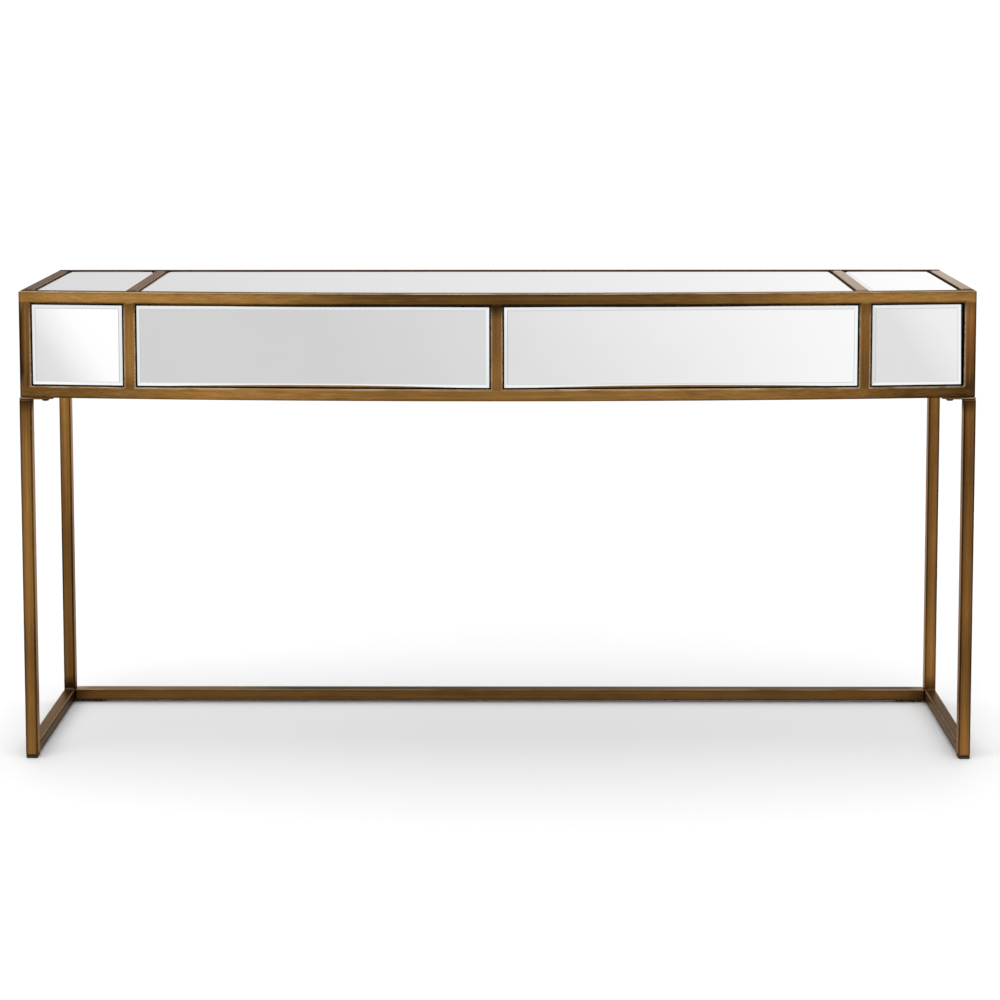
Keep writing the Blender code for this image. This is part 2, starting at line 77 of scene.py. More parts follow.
FLOOR_Z1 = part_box("left_floor_rail")[1].z
PLATE_Z1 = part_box("front_left_leg")[1].z
PLATE_X = -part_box("front_left_leg")[1].x

GLASS_T = 0.005
BEVEL = 0.0062
BEVEL_DROP = 0.00133
RECESS = 0.001
PLATE_T = 0.003
ROUND = 0.0017


def arc(x):
    """Front face of the case at x."""
    return FRONT_Y + (APEX_Y - FRONT_Y) * (1 - (x / CASE_X) ** 2)


# ---------------------------------------------------------------- node trees
def srgb(r, g, b):
    return tuple(c / 12.92 if c <= 0.04045 else ((c + 0.055) / 1.055) ** 2.4 for c in (r / 255, g / 255, b / 255))


class Tree:
    """A small helper that builds a node tree."""

    def __init__(self, owner):
        owner.use_nodes = True
        self.t = owner.node_tree
        self.t.nodes.clear()

    def node(self, kind, **settings):
        n = self.t.nodes.new(kind)
        for key, value in settings.items():
            setattr(n, key, value)
        return n

    def put(self, socket, value):
        if isinstance(value, bpy.types.NodeSocket):
            self.t.links.new(value, socket)
        elif isinstance(value, (tuple, list)) and len(value) == 3 and socket.type == "RGBA":
            socket.default_value = (*value, 1)
        else:
            socket.default_value = value

    def math(self, op, a, b=0.0, c=0.0, clamp=False):
        n = self.node("ShaderNodeMath", operation=op, use_clamp=clamp)
        for socket, value in zip(n.inputs, (a, b, c)):
            self.put(socket, value)
        return n.outputs[0]

    def add(self, *terms):
        total = terms[0]
        for term in terms[1:]:
            total = self.math("ADD", total, term)
        return total

    def mul(self, a, b):
        return self.math("MULTIPLY", a, b)

    def spread(self, fac, gain, mid=0.5):
        """(fac - mid) * gain"""
        return self.math("MULTIPLY_ADD", fac, gain, -mid * gain)

    def map_range(self, value, a, b, c=0.0, d=1.0, smooth=True):
        n = self.node("ShaderNodeMapRange", interpolation_type="SMOOTHSTEP" if smooth else "LINEAR")
        for socket, v in zip(n.inputs, (value, a, b, c, d)):
            self.put(socket, v)
        return n.outputs["Result"]

    def mix(self, fac, a, b, blend="MIX"):
        n = self.node("ShaderNodeMix", data_type="RGBA", blend_type=blend)
        self.put(n.inputs["Factor"], fac)
        self.put(n.inputs["A"], a)
        self.put(n.inputs["B"], b)
        return n.outputs["Result"]

    def ramp(self, fac, stops, interpolation="LINEAR"):
        n = self.node("ShaderNodeValToRGB")
        ramp = n.color_ramp
        ramp.interpolation = interpolation
        while len(ramp.elements) < len(stops):
            ramp.elements.new(0.5)
        for element, (at, colour) in zip(ramp.elements, stops):
            element.position = at
        for element, (at, colour) in zip(ramp.elements, stops):
            element.color = (*colour, 1) if isinstance(colour, tuple) else (colour, colour, colour, 1)
        self.put(n.inputs["Fac"], fac)
        return n.outputs["Color"]

    def coords(self, kind="Object"):
        return self.node("ShaderNodeTexCoord").outputs[kind]

    def mapping(self, vector, scale, location=(0, 0, 0)):
        n = self.node("ShaderNodeMapping")
        self.put(n.inputs["Vector"], vector)
        n.inputs["Scale"].default_value = scale
        n.inputs["Location"].default_value = location
        return n.outputs["Vector"]

    def noise(self, vector, scale=1.0, detail=2.0, rough=0.5, distort=0.0):
        n = self.node("ShaderNodeTexNoise")
        self.put(n.inputs["Vector"], vector)
        n.inputs["Scale"].default_value = scale
        n.inputs["Detail"].default_value = detail
        n.inputs["Roughness"].default_value = rough
        n.inputs["Distortion"].default_value = distort
        return n.outputs["Fac"]

    def bump(self, height, distance, strength=1.0):
        n = self.node("ShaderNodeBump")
        self.put(n.inputs["Height"], height)
        n.inputs["Distance"].default_value = distance
        n.inputs["Strength"].default_value = strength
        return n.outputs["Normal"]

    def principled(self, **values):
        n = self.node("ShaderNodeBsdfPrincipled")
        for key, value in values.items():
            self.put(n.inputs[key.replace("_", " ")], value)
        out = self.node("ShaderNodeOutputMaterial")
        self.t.links.new(n.outputs[0], out.inputs["Surface"])
        return n


def along(axis, long_scale, cross_scale):
    """Texture scale that is long_scale along one axis and cross_scale across it."""
    return tuple(long_scale if k == "xyz".index(axis) else cross_scale for k in range(3))


def brass(name, axis):
    """Antiqued brass on steel tube, brushed along one axis. The vertex colour holds tone, dark (painted shade at edges,
    plus darkening by place), red (a tint that on top faces is a painted reflection) and, in alpha, a painted highlight
    on upward edges.
    """
    mat = bpy.data.materials.new(name)
    t = Tree(mat)
    co = t.coords()
    streak = t.noise(t.mapping(co, along(axis, 3.2, 420.0)), 1.0, 3.0, 0.55)
    grain = t.noise(t.mapping(co, along(axis, 26.0, 1500.0), (3.1, 1.7, 5.3)), 1.0, 3.0, 0.6)
    blotch = t.noise(t.mapping(co, along(axis, 16.0, 55.0), (1.3, 4.2, 0.4)), 1.0, 2.0, 0.5)
    cloud = t.noise(t.mapping(co, (5.0, 5.0, 5.0), (7.7, 2.9, 3.3)), 1.0, 2.0, 0.5)
    pits = t.noise(t.mapping(co, (640.0, 640.0, 640.0)), 1.0, 2.0, 0.5)
    tone_and_light = t.node("ShaderNodeAttribute", attribute_type="GEOMETRY", attribute_name="tone_and_light")
    parts = t.node("ShaderNodeSeparateColor")
    t.put(parts.inputs[0], tone_and_light.outputs["Color"])
    tone, dark, red = parts.outputs[0], parts.outputs[1], parts.outputs[2]
    painted_highlight = tone_and_light.outputs["Alpha"]

    level = t.add(tone, t.spread(streak, 0.46), t.spread(grain, 0.36), t.spread(blotch, 0.18), t.spread(cloud, 0.12))
    # painted shade: the dark channel lowers the brass level at edges and at shaded places
    shade = t.mul(dark, t.map_range(blotch, 0.25, 0.7, 0.75, 1.1))
    level = t.math("SUBTRACT", level, t.mul(shade, 0.40), clamp=True)
    colour = t.ramp(
        level,
        [
            (0.0, (0.0305, 0.0153, 0.0054)),
            (0.22, (0.107, 0.0545, 0.0148)),
            (0.42, (0.194, 0.097, 0.0263)),
            (0.60, (0.311, 0.159, 0.0420)),
            (0.78, (0.458, 0.248, 0.0750)),
            (1.0, (0.698, 0.469, 0.190)),
        ],
    )
    # pale (the red channel below zero) is a painted sheen, a painted reflection of the bright backdrop on top faces;
    # red above zero is a reddish tint, partly the brass's own tone and on top faces a painted reflection
    pale = t.math("MULTIPLY", red, -1.0, clamp=True)
    red = t.math("MAXIMUM", red, 0.0)
    colour = t.mix(red, colour, t.mix(1.0, colour, (1.06, 0.80, 0.74), "MULTIPLY"))
    warm = t.map_range(t.noise(t.mapping(co, along(axis, 14.0, 90.0), (9.1, 0.2, 6.1)), 1.0, 2.0), 0.52, 0.70)
    colour = t.mix(t.mul(warm, 0.35), colour, t.mix(1.0, colour, (1.22, 0.92, 0.62), "MULTIPLY"))
    # painted highlight on upward-facing edges and lips, mixed towards pale brass
    highlight_rub = t.mul(painted_highlight, t.map_range(t.add(streak, t.spread(blotch, 0.7)), 0.38, 0.62, 0.25, 1.0))
    colour = t.mix(highlight_rub, colour, (0.58, 0.48, 0.34))
    # painted reflection: pale top faces mixed towards a greyish sheen
    colour = t.mix(t.mul(pale, t.map_range(streak, 0.2, 0.8, 0.8, 1.0)), colour, t.mix(streak, (0.40, 0.345, 0.295), (0.54, 0.49, 0.45)))
    spots = t.map_range(pits, 0.66, 0.74)
    colour = t.mix(t.mul(spots, 0.25), colour, (0.05, 0.034, 0.02))
    rough = t.add(0.40, t.spread(grain, 0.30), t.mul(shade, 0.10), t.mul(highlight_rub, -0.10))
    height = t.add(t.mul(streak, 0.55), t.mul(grain, 0.35), t.mul(spots, -0.5), t.mul(cloud, 0.5))
    t.principled(
        Base_Color=colour,
        Metallic=1.0,
        # the painted shade also dulls the tint of the reflection
        Specular_Tint=t.mix(t.map_range(dark, 0.15, 0.9), (0.90, 0.78, 0.68), (0.42, 0.35, 0.29)),
        Roughness=rough,
        Normal=t.bump(height, 0.00016, 0.55),
    )
    return mat


def mirror(name, base, rough_low, rough_high, milk=0.0):
    """Silvered glass: neutral, with faint hazing and very slight waves. milk mixes in the pale body seen in a ground bevel."""
    mat = bpy.data.materials.new(name)
    t = Tree(mat)
    co = t.coords()
    haze = t.noise(t.mapping(co, (9.0, 9.0, 9.0)), 1.0, 3.0, 0.55)
    dust = t.noise(t.mapping(co, (420.0, 420.0, 420.0)), 1.0, 2.0)
    colour = t.mix(t.map_range(haze, 0.3, 0.7), tuple(c * 0.985 for c in base), base)
    rough = t.add(t.map_range(haze, 0.3, 0.75, rough_low, rough_high), t.mul(t.map_range(dust, 0.62, 0.8), 0.02))
    t.principled(
        Base_Color=colour,
        Metallic=1.0 - milk,
        Roughness=rough,
        Normal=t.bump(haze, 0.00002, 0.25),
    )
    return mat


def glass_edge(name):
    mat = bpy.data.materials.new(name)
    t = Tree(mat)
    co = t.coords()
    n = t.noise(t.mapping(co, (160.0, 160.0, 160.0)), 1.0, 3.0)
    colour = t.mix(t.map_range(n, 0.3, 0.7), (0.30, 0.36, 0.34), (0.50, 0.56, 0.54))
    t.principled(Base_Color=colour, Metallic=0.35, Roughness=t.map_range(n, 0.3, 0.7, 0.12, 0.3))
    return mat


def board(name, low, high, rough):
    """Painted fibreboard: fine mottling and fibres."""
    mat = bpy.data.materials.new(name)
    t = Tree(mat)
    co = t.coords()
    fibre = t.noise(t.mapping(co, (90.0, 700.0, 700.0)), 1.0, 4.0, 0.65)
    cloud = t.noise(t.mapping(co, (14.0, 14.0, 14.0)), 1.0, 3.0)
    colour = t.mix(t.map_range(t.add(t.mul(fibre, 0.6), t.mul(cloud, 0.4)), 0.35, 0.65), low, high)
    t.principled(
        Base_Color=colour,
        Roughness=t.add(rough, t.spread(fibre, 0.25)),
        Normal=t.bump(fibre, 0.00012, 0.5),
    )
    return mat


def wood(name, axis, light=(0.60, 0.42, 0.25), deep=(0.40, 0.25, 0.13)):
    """Clear-lacquered light wood with its grain along one axis."""
    mat = bpy.data.materials.new(name)
    t = Tree(mat)
    co = t.coords()
    bend = t.noise(t.mapping(co, along(axis, 1.6, 9.0)), 1.0, 2.0)
    rings = t.noise(t.mapping(co, along(axis, 1.2, 42.0), (0.3, 0.7, 1.9)), 1.0, 3.0, 0.55, 0.6)
    pores = t.noise(t.mapping(co, along(axis, 28.0, 900.0)), 1.0, 2.0, 0.6)
    fac = t.add(t.mul(rings, 0.75), t.mul(bend, 0.25))
    colour = t.ramp(fac, [(0.34, deep), (0.47, light), (0.56, tuple(c * 1.12 for c in light)), (0.68, deep)])
    colour = t.mix(t.mul(t.map_range(pores, 0.56, 0.7), 0.45), colour, tuple(c * 0.55 for c in deep))
    t.principled(
        Base_Color=colour,
        Roughness=t.map_range(pores, 0.35, 0.7, 0.42, 0.6),
        Normal=t.bump(pores, 0.0001, 0.4),
    )
    return mat


def steel(name, low, high, rough, axis="y"):
    mat = bpy.data.materials.new(name)
    t = Tree(mat)
    co = t.coords()
    lines = t.noise(t.mapping(co, along(axis, 20.0, 900.0)), 1.0, 3.0)
    spangle = t.noise(t.mapping(co, (120.0, 120.0, 120.0)), 1.0, 2.0)
    colour = t.mix(t.map_range(t.add(t.mul(lines, 0.5), t.mul(spangle, 0.5)), 0.35, 0.65), low, high)
    t.principled(
        Base_Color=colour,
        Metallic=1.0,
        Roughness=t.add(rough, t.spread(spangle, 0.25)),
        Normal=t.bump(lines, 0.00006, 0.4),
    )
    return mat


def plastic(name, low, high, rough):
    mat = bpy.data.materials.new(name)
    t = Tree(mat)
    co = t.coords()
    grain = t.noise(t.mapping(co, (1100.0, 1100.0, 1100.0)), 1.0, 2.0)
    cloud = t.noise(t.mapping(co, (60.0, 60.0, 60.0)), 1.0, 2.0)
    t.principled(
        Base_Color=t.mix(t.map_range(cloud, 0.3, 0.7), low, high),
        Roughness=t.add(rough, t.spread(grain, 0.2)),
        Normal=t.bump(grain, 0.00008, 0.5),
    )
    return mat


BRASS = {axis: brass("antique_brass_" + axis, axis) for axis in "xyz"}
BRASS_LIST = [BRASS["x"], BRASS["y"], BRASS["z"]]
GLASS = mirror("mirror_face", (0.908, 0.908, 0.909), 0.0, 0.012)
GLASS_BEVEL = mirror("mirror_bevel", (0.955, 0.962, 0.965), 0.02, 0.05)
GLASS_TOP_BEVEL = mirror("mirror_top_bevel", (0.965, 0.968, 0.968), 0.04, 0.08, 0.85)
GLASS_SEAM = mirror("mirror_seam", (0.70, 0.715, 0.725), 0.03, 0.08)
EDGE = glass_edge("mirror_edge")
BLACK = board("black_board", (0.010, 0.0095, 0.009), (0.022, 0.020, 0.018), 0.72)
BACKING = board("back_board", (0.018, 0.017, 0.016), (0.036, 0.033, 0.030), 0.66)
WOOD_X = wood("drawer_wood_x", "x")
WOOD_Y = wood("drawer_wood_y", "y")
ZINC = steel("zinc_steel", (0.42, 0.43, 0.44), (0.60, 0.61, 0.62), 0.33)
SCREW = steel("screw_steel", (0.075, 0.060, 0.046), (0.20, 0.165, 0.13), 0.34, "x")
PLASTIC = plastic("black_plastic", (0.008, 0.008, 0.008), (0.018, 0.017, 0.016), 0.5)
NYLON = plastic("grey_nylon", (0.20, 0.20, 0.195), (0.28, 0.28, 0.27), 0.45)


# ---------------------------------------------------------------- mesh helpers
def emit(name, bm, mats, body="table", replaces=(), smooth=True, weighted=True):
    """Turns a bmesh into a piece that rides on a CAD body."""
    bmesh.ops.recalc_face_normals(bm, faces=bm.faces)
    mesh = bpy.data.meshes.new(name)
    bm.to_mesh(mesh)
    bm.free()
    for mat in mats:
        mesh.materials.append(mat)
    mesh.polygons.foreach_set("use_smooth", [smooth] * len(mesh.polygons))
    obj = bpy.data.objects.new(name, mesh)
    bpy.context.scene.collection.objects.link(obj)
    if smooth and weighted:
        mod = obj.modifiers.new("weighted", "WEIGHTED_NORMAL")
        mod.keep_sharp = True
        mod.weight = 60
    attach(obj, body)
    if replaces:
        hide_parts(*replaces)
    return obj


def steps_between(lo, hi, step):
    n = max(1, round((hi - lo) / step))
    return [lo + (hi - lo) * k / n for k in range(1, n)]


def lattice(boxes, extra=((), (), ())):
    """Closed all-quad mesh of a union of boxes, cut at every box face and at the extra lines."""
    axes = []
    for k in range(3):
        fixed = sorted({round(v, 6) for b in boxes for v in (b[0][k], b[1][k])})
        more = [v for v in extra[k] if min(abs(v - w) for w in fixed) > 0.0029 and fixed[0] < v < fixed[-1]]
        kept = []
        for v in sorted(more):
            if not kept or v - kept[-1] > 0.004:
                kept.append(v)
        axes.append(sorted(fixed + kept))
    filled = np.zeros([len(a) + 1 for a in axes], bool)
    mids = [(np.array(a[1:]) + np.array(a[:-1])) / 2 for a in axes]
    for lo, hi in boxes:
        picks = [np.where((m > l) & (m < h))[0] + 1 for m, l, h in zip(mids, lo, hi)]
        filled[np.ix_(*picks)] = True
    bm = bmesh.new()
    made = {}

    def vert(ijk):
        if ijk not in made:
            made[ijk] = bm.verts.new(tuple(axes[k][ijk[k]] for k in range(3)))
        return made[ijk]

    for axis in range(3):
        u, v = [k for k in range(3) if k != axis]
        a = np.moveaxis(filled, axis, 0)
        for i, p, q in np.argwhere(a[1:] != a[:-1]):
            quad = []
            for dp, dq in ((-1, -1), (0, -1), (0, 0), (-1, 0)):
                ijk = [0, 0, 0]
                ijk[axis], ijk[u], ijk[v] = int(i), int(p + dp), int(q + dq)
                quad.append(vert(tuple(ijk)))
            bm.faces.new(quad)
    bmesh.ops.recalc_face_normals(bm, faces=bm.faces)
    return bm


def round_edges(bm, width, segments=3, angle=0.6):
    """Rounds every sharp edge. Returns the indices of the rounding's vertices."""
    sharp = [e for e in bm.edges if len(e.link_faces) == 2 and e.calc_face_angle() > angle]
    got = bmesh.ops.bevel(
        bm,
        geom=sharp,
        offset=width,
        offset_type="OFFSET",
        segments=segments,
        profile=0.5,
        affect="EDGES",
        clamp_overlap=True,
        miter_outer="SHARP",
    )
    bm.verts.index_update()
    return {v.index for v in got["verts"]}


def inset(poly, d):
    """Convex counter-clockwise outline moved inward by d."""
    n = len(poly)
    lines = []
    for j in range(n):
        (x0, y0), (x1, y1) = poly[j], poly[(j + 1) % n]
        length = math.hypot(x1 - x0, y1 - y0)
        tx, ty = (x1 - x0) / length, (y1 - y0) / length
        lines.append((x0 - ty * d, y0 + tx * d, tx, ty))
    out = []
    for j in range(n):
        ax, ay, atx, aty = lines[j - 1]
        bx, by, btx, bty = lines[j]
        cross = atx * bty - aty * btx
        if abs(cross) < 1e-9:
            out.append((bx, by))
            continue
        s = ((bx - ax) * bty - (by - ay) * btx) / cross
        out.append((ax + atx * s, ay + aty * s))
    return out


def rounded(poly, r, steps=3):
    """The outline with its sharp corners turned into arcs of radius r."""
    out = []
    n = len(poly)
    for j in range(n):
        a, b, c = Vector(poly[j - 1]), Vector(poly[j]), Vector(poly[(j + 1) % n])
        u, v = (a - b).normalized(), (c - b).normalized()
        turn = math.pi - u.angle(v)
        if turn < 0.3:
            out.append(tuple(b))
            continue
        middle = b + (u + v).normalized() * (r / math.cos(turn / 2))
        first = math.atan2(u.x, -u.y)
        for k in range(steps + 1):
            a = first + turn * k / steps
            out.append((middle.x + r * math.cos(a), middle.y + r * math.sin(a)))
    return out


def outline_at(poly, r, d, steps=2):
    """The rounded outline moved inward by d."""
    return rounded(inset(poly, d) if d else poly, max(r - d, 0.00006), steps)


def rect(u0, v0, u1, v1):
    return [(u0, v0), (u1, v0), (u1, v1), (u0, v1)]


def stack(bm, rings, mats=None):
    """Joins closed rings of points into a closed skin with flat caps. mats gives a material index for each band, then the two caps."""
    made = [[bm.verts.new(p) for p in ring] for ring in rings]
    n = len(made[0])
    faces = []
    for k, (a, b) in enumerate(zip(made, made[1:])):
        for j in range(n):
            f = bm.faces.new((a[j], a[(j + 1) % n], b[(j + 1) % n], b[j]))
            f.material_index = mats[k] if mats else 0
            faces.append(f)
    low = bm.faces.new(list(reversed(made[0])))
    high = bm.faces.new(made[-1])
    if mats:
        low.material_index, high.material_index = mats[-2], mats[-1]
    return made


def table_value(x, stops):
    return float(np.interp(x, [s[0] for s in stops], [s[1] for s in stops]))


def paint(obj_mesh_verts, layer, rule):
    for v in obj_mesh_verts:
        v[layer] = rule(v)


# ---------------------------------------------------------------- tone along each member, lighter or darker by place: (position in metres, tone)
TOP_TONE = [(-0.76, 0.68), (-0.71, 0.74), (-0.60, 0.70), (-0.45, 0.72), (-0.36, 0.64), (-0.30, 0.54), (-0.22, 0.34),
            (-0.12, 0.26), (0.0, 0.24), (0.10, 0.25), (0.20, 0.30), (0.30, 0.37), (0.42, 0.48), (0.52, 0.63), (0.62, 0.65),
            (0.76, 0.68)]
LOW_TONE = [(-0.76, 0.46), (-0.70, 0.36), (-0.63, 0.46), (-0.545, 0.56), (-0.466, 0.66), (-0.388, 0.66), (-0.309, 0.64),
            (-0.231, 0.55), (-0.152, 0.52), (-0.07, 0.53), (0.0, 0.57), (0.08, 0.53), (0.24, 0.57), (0.40, 0.56),
            (0.476, 0.49), (0.554, 0.47), (0.61, 0.38), (0.65, 0.24), (0.76, 0.24)]
POSTS = {  # centre line x: tone by height
    "front_left": (-0.751, [(0.607, 0.20), (0.627, 0.28), (0.660, 0.38), (0.739, 0.41)]),
    "left": (-0.582, [(0.607, 0.66), (0.659, 0.67), (0.690, 0.62), (0.739, 0.56)]),
    "center": (0.0, [(0.607, 0.62), (0.627, 0.57), (0.659, 0.48), (0.690, 0.45), (0.739, 0.42)]),
    "right": (0.582, [(0.607, 0.33), (0.680, 0.43), (0.739, 0.46)]),
    "front_right": (0.751, [(0.607, 0.22), (0.627, 0.28), (0.659, 0.37), (0.690, 0.44), (0.722, 0.56), (0.739, 0.58)]),
}
LEG_TONE = {
    (-1, "front"): [(0.0, 0.54), (0.05, 0.52), (0.10, 0.50), (0.18, 0.43), (0.26, 0.58), (0.42, 0.59), (0.50, 0.55),
                    (0.566, 0.43), (0.585, 0.38)],
    (-1, "rear"): [(0.0, 0.34), (0.043, 0.40), (0.097, 0.42), (0.194, 0.36), (0.291, 0.36), (0.388, 0.47), (0.484, 0.55),
                   (0.552, 0.66), (0.585, 0.66)],
    (1, "front"): [(0.0, 0.62), (0.029, 0.60), (0.094, 0.46), (0.175, 0.37), (0.257, 0.51), (0.338, 0.41), (0.419, 0.39),
                   (0.50, 0.34), (0.557, 0.44), (0.585, 0.44)],
    (1, "rear"): [(0.0, 0.50), (0.043, 0.62), (0.097, 0.62), (0.194, 0.47), (0.291, 0.47), (0.388, 0.42), (0.484, 0.42),
                  (0.552, 0.52), (0.585, 0.55)],
}


def edge_shade_and_highlight(n):
    """(dark, highlight) on a rounding whose normal is n: a painted highlight on upward-facing roundings and painted
    shade on the rest.
    """
    if n.z > 0.35:
        return 0.15, min(1.0, 0.35 + n.z)
    return 0.95, 0.0


def edge_distance(p, n, axis, edges):
    """How far p is from the nearest long edge of its tube, which runs along axis."""
    face = max(range(3), key=lambda k: abs(n[k]))
    across = [k for k in range(3) if k not in (face, axis)]
    return min(abs(p[k] - e) for k in across for e in edges[k])


def write_tone_and_light(bm, round_verts, tone_of, axis_of, edges, lip=lambda co: False):
    """Vertex colour of tone, dark (painted shade at edges plus darkening by place), red tint, and a painted highlight
    on upward edges and lips.
    """
    bm.normal_update()
    layer = bm.verts.layers.float_color.new("tone_and_light")
    for v in bm.verts:
        tone, red, highlight_gain, dark_gain, grime_and_shade = tone_of(v.co, v.normal)
        if v.index in round_verts:
            dark, painted_highlight = edge_shade_and_highlight(v.normal)
            # painted highlight on the lips of the mirror openings
            if lip(v.co):
                dark, painted_highlight = 0.1, 0.5 / max(highlight_gain, 0.01)
        else:
            # painted shade along the tube's long edges, fading over a few millimetres
            d = edge_distance(v.co, v.normal, axis_of(v.co), edges)
            dark, painted_highlight = 0.5 * math.exp(-((d / 0.0034) ** 2)), 0.0
        v[layer] = (
            min(1.0, max(0.0, tone)),
            min(1.4, dark * dark_gain + grime_and_shade),
            red,
            min(1.0, painted_highlight * highlight_gain),
        )


def near(a, b, width):
    """1 at no distance, falling smoothly to 0 at width."""
    s = min(1.0, abs(a - b) / width)
    return 1 - s * s * (3 - 2 * s)


# ---------------------------------------------------------------- case frame: one welded and ground frame
DEEP = 0.44  # working depth of the frame before it is bent to the bow
X_CUTS, Z_CUTS = [], []
X_EDGES = [-CASE_X, -INNER_X, -DIV_X1, -DIV_X0, -TUBE_W / 2, TUBE_W / 2, DIV_X0, DIV_X1, INNER_X, CASE_X]
IN = 0.0034


def inner_lines(lo, hi):
    return [lo + IN, (lo + hi) / 2, hi - IN]


for a, b in zip(X_EDGES[::2], X_EDGES[1::2]):
    X_CUTS += inner_lines(a, b)
X_CUTS += steps_between(-CASE_X, CASE_X, 0.022)
for a, b in ((LOW_Z0, LOW_Z1), (TOP_Z0, TOP_Z1)):
    Z_CUTS += inner_lines(a, b)
Z_CUTS += steps_between(LOW_Z1, TOP_Z0, 0.022)
Y_CUTS = inner_lines(0, TUBE_D) + inner_lines(DEEP - TUBE_D, DEEP) + steps_between(TUBE_D, DEEP - TUBE_D, 0.03)


def case_bend(v):
    if v.y <= TUBE_D:
        v.y = arc(v.x) + v.y
    elif v.y >= DEEP - TUBE_D:
        v.y = REAR_Y - DEEP + v.y
    else:
        a, b = arc(v.x) + TUBE_D, REAR_Y - TUBE_D
        v.y = a + (b - a) * (v.y - TUBE_D) / (DEEP - 2 * TUBE_D)


def case_tone(co, n):
    x, z = co.x, co.z
    corner = max(near(abs(x), CASE_X - TUBE_W / 2, 0.05) * max(near(z, TOP_Z1, 0.04), near(z, LOW_Z0, 0.05)), 0.0)
    front = co.y < TUBE_D + 0.002
    if front and LOW_Z1 + 0.002 < z < TOP_Z0 - 0.002:
        best = min(POSTS.values(), key=lambda p: abs(p[0] - x))
        # painted shade on the outer edge of the front left post
        outer = 0.75 if x < -CASE_X + 0.0045 else 0.0
        return table_value(z, best[1]) + (0.06 if x < -INNER_X and not outer else 0.0), 0.6 if x > INNER_X else 0.15, 0.3, 1.0, outer
    if front and z >= TOP_Z0 - 0.002:
        tone = table_value(x, TOP_TONE)
        # top face of the front top rail: painted shade that darkens it and dulls its reflection towards both ends
        if n.z > 0.9 and co.y > 0.004:
            tone = table_value(x, [(-0.76, 0.18), (-0.42, 0.2), (-0.28, 0.32), (0.5, 0.32), (0.62, 0.3), (0.76, 0.2)])
            return tone, 0.1, 0.2, 0.5, table_value(x, [(-0.76, 0.65), (-0.42, 0.55), (-0.28, 0.05), (0.40, 0.05), (0.57, 0.1), (0.61, 0.6), (0.76, 0.6)])
        # painted shade under the front top rail
        if z < TOP_Z0 + 0.002:
            return tone, 0.0, 0.1, 0.9, 0.35
        # strength of the painted highlight along the front top rail's upper edge
        gain = table_value(x, [(-0.76, 0.45), (-0.40, 0.35), (-0.27, 0.35), (-0.15, 0.55), (0.05, 0.6), (0.25, 0.5), (0.40, 0.35), (0.58, 0.35), (0.76, 0.3)])
        return tone, 0.0, gain, 0.55, corner * 0.25
    if front:
        return table_value(x, LOW_TONE), 0.0, 0.55, 0.5, corner * 0.3
    if z > TOP_Z0 - 0.002 and co.y < DEEP - TUBE_D and n.z < 0.5:
        return 0.34, 0.3, 0.3, 0.8, corner * 0.2
    # top faces of the end rails: a red tint on the left and a pale sheen on the right, both painted reflections of the
    # backdrop
    if z > TOP_Z0 - 0.002 and co.y < DEEP - TUBE_D:
        tone = table_value(x, [(-0.75, 0.10), (-0.582, 0.24), (0.582, 0.52), (0.75, 0.55)])
        return tone, 0.9 if x < 0 else table_value(co.y, [(0.02, -0.70), (0.25, -0.95 if x < INNER_X else -1.0)]), 0.12, 0.6, corner * 0.1
    # rear top rail: its top face darker, with a duller reflection
    if z > TOP_Z0 - 0.002:
        return (0.14, 0.3, 0.0, 0.8, 0.75) if n.z > 0.5 else (0.32, 0.3, 0.2, 0.8, 0.0)
    return 0.34, 0.3, 0.3, 0.8, corner * 0.2


def opening_lip(co):
    """On the front edges of the posts and the lower rail that face a mirror, where a highlight is painted."""
    return co.y < 0.0011 and abs(co.x) < INNER_X + 0.0019 and LOW_Z1 - 0.0019 < co.z < TOP_Z0 - 0.0004


def case_axis(c):
    """0, 1 or 2 for a tube along x, y or z in the case frame, before bending."""
    if LOW_Z1 < c.z < TOP_Z0:
        return 2
    if TUBE_D < c.y < DEEP - TUBE_D:
        return 1
    return 0


boxes = []
for z0, z1 in ((LOW_Z0, LOW_Z1), (TOP_Z0, TOP_Z1)):
    boxes.append(((-CASE_X, 0, z0), (CASE_X, TUBE_D, z1)))
    boxes.append(((-CASE_X, DEEP - TUBE_D, z0), (CASE_X, DEEP, z1)))
    for a, b in ((-CASE_X, -INNER_X), (INNER_X, CASE_X)):
        boxes.append(((a, 0, z0), (b, DEEP, z1)))
for a, b in zip(X_EDGES[::2], X_EDGES[1::2]):
    boxes.append(((a, 0, LOW_Z0), (b, TUBE_D, TOP_Z1)))
for a, b in ((-CASE_X, -INNER_X), (INNER_X, CASE_X)):
    boxes.append(((a, DEEP - TUBE_D, LOW_Z0), (b, DEEP, TOP_Z1)))
for a, b in ((-DIV_X1, -DIV_X0), (DIV_X0, DIV_X1)):
    boxes.append(((a, 0, TOP_Z0), (b, DEEP, TOP_Z1)))
bm = lattice(boxes, (X_CUTS, Y_CUTS, Z_CUTS))
for f in bm.faces:
    f.material_index = case_axis(f.calc_center_median())
rounding = round_edges(bm, ROUND)
write_tone_and_light(
    bm, rounding, case_tone, case_axis, (X_EDGES, (0, TUBE_D, DEEP - TUBE_D, DEEP), (LOW_Z0, LOW_Z1, TOP_Z0, TOP_Z1)), opening_lip
)
for v in bm.verts:
    case_bend(v.co)
emit(
    "case_frame",
    bm,
    BRASS_LIST,
    replaces=[
        "front_top_rail", "front_bottom_rail", "rear_top_rail", "rear_bottom_rail",
        "left_top_rail", "right_top_rail", "left_bottom_rail", "right_bottom_rail",
        "front_left_post", "front_right_post", "rear_left_post", "rear_right_post",
        "left_divider", "center_divider", "right_divider", "left_top_crossbar", "right_top_crossbar",
    ],
)

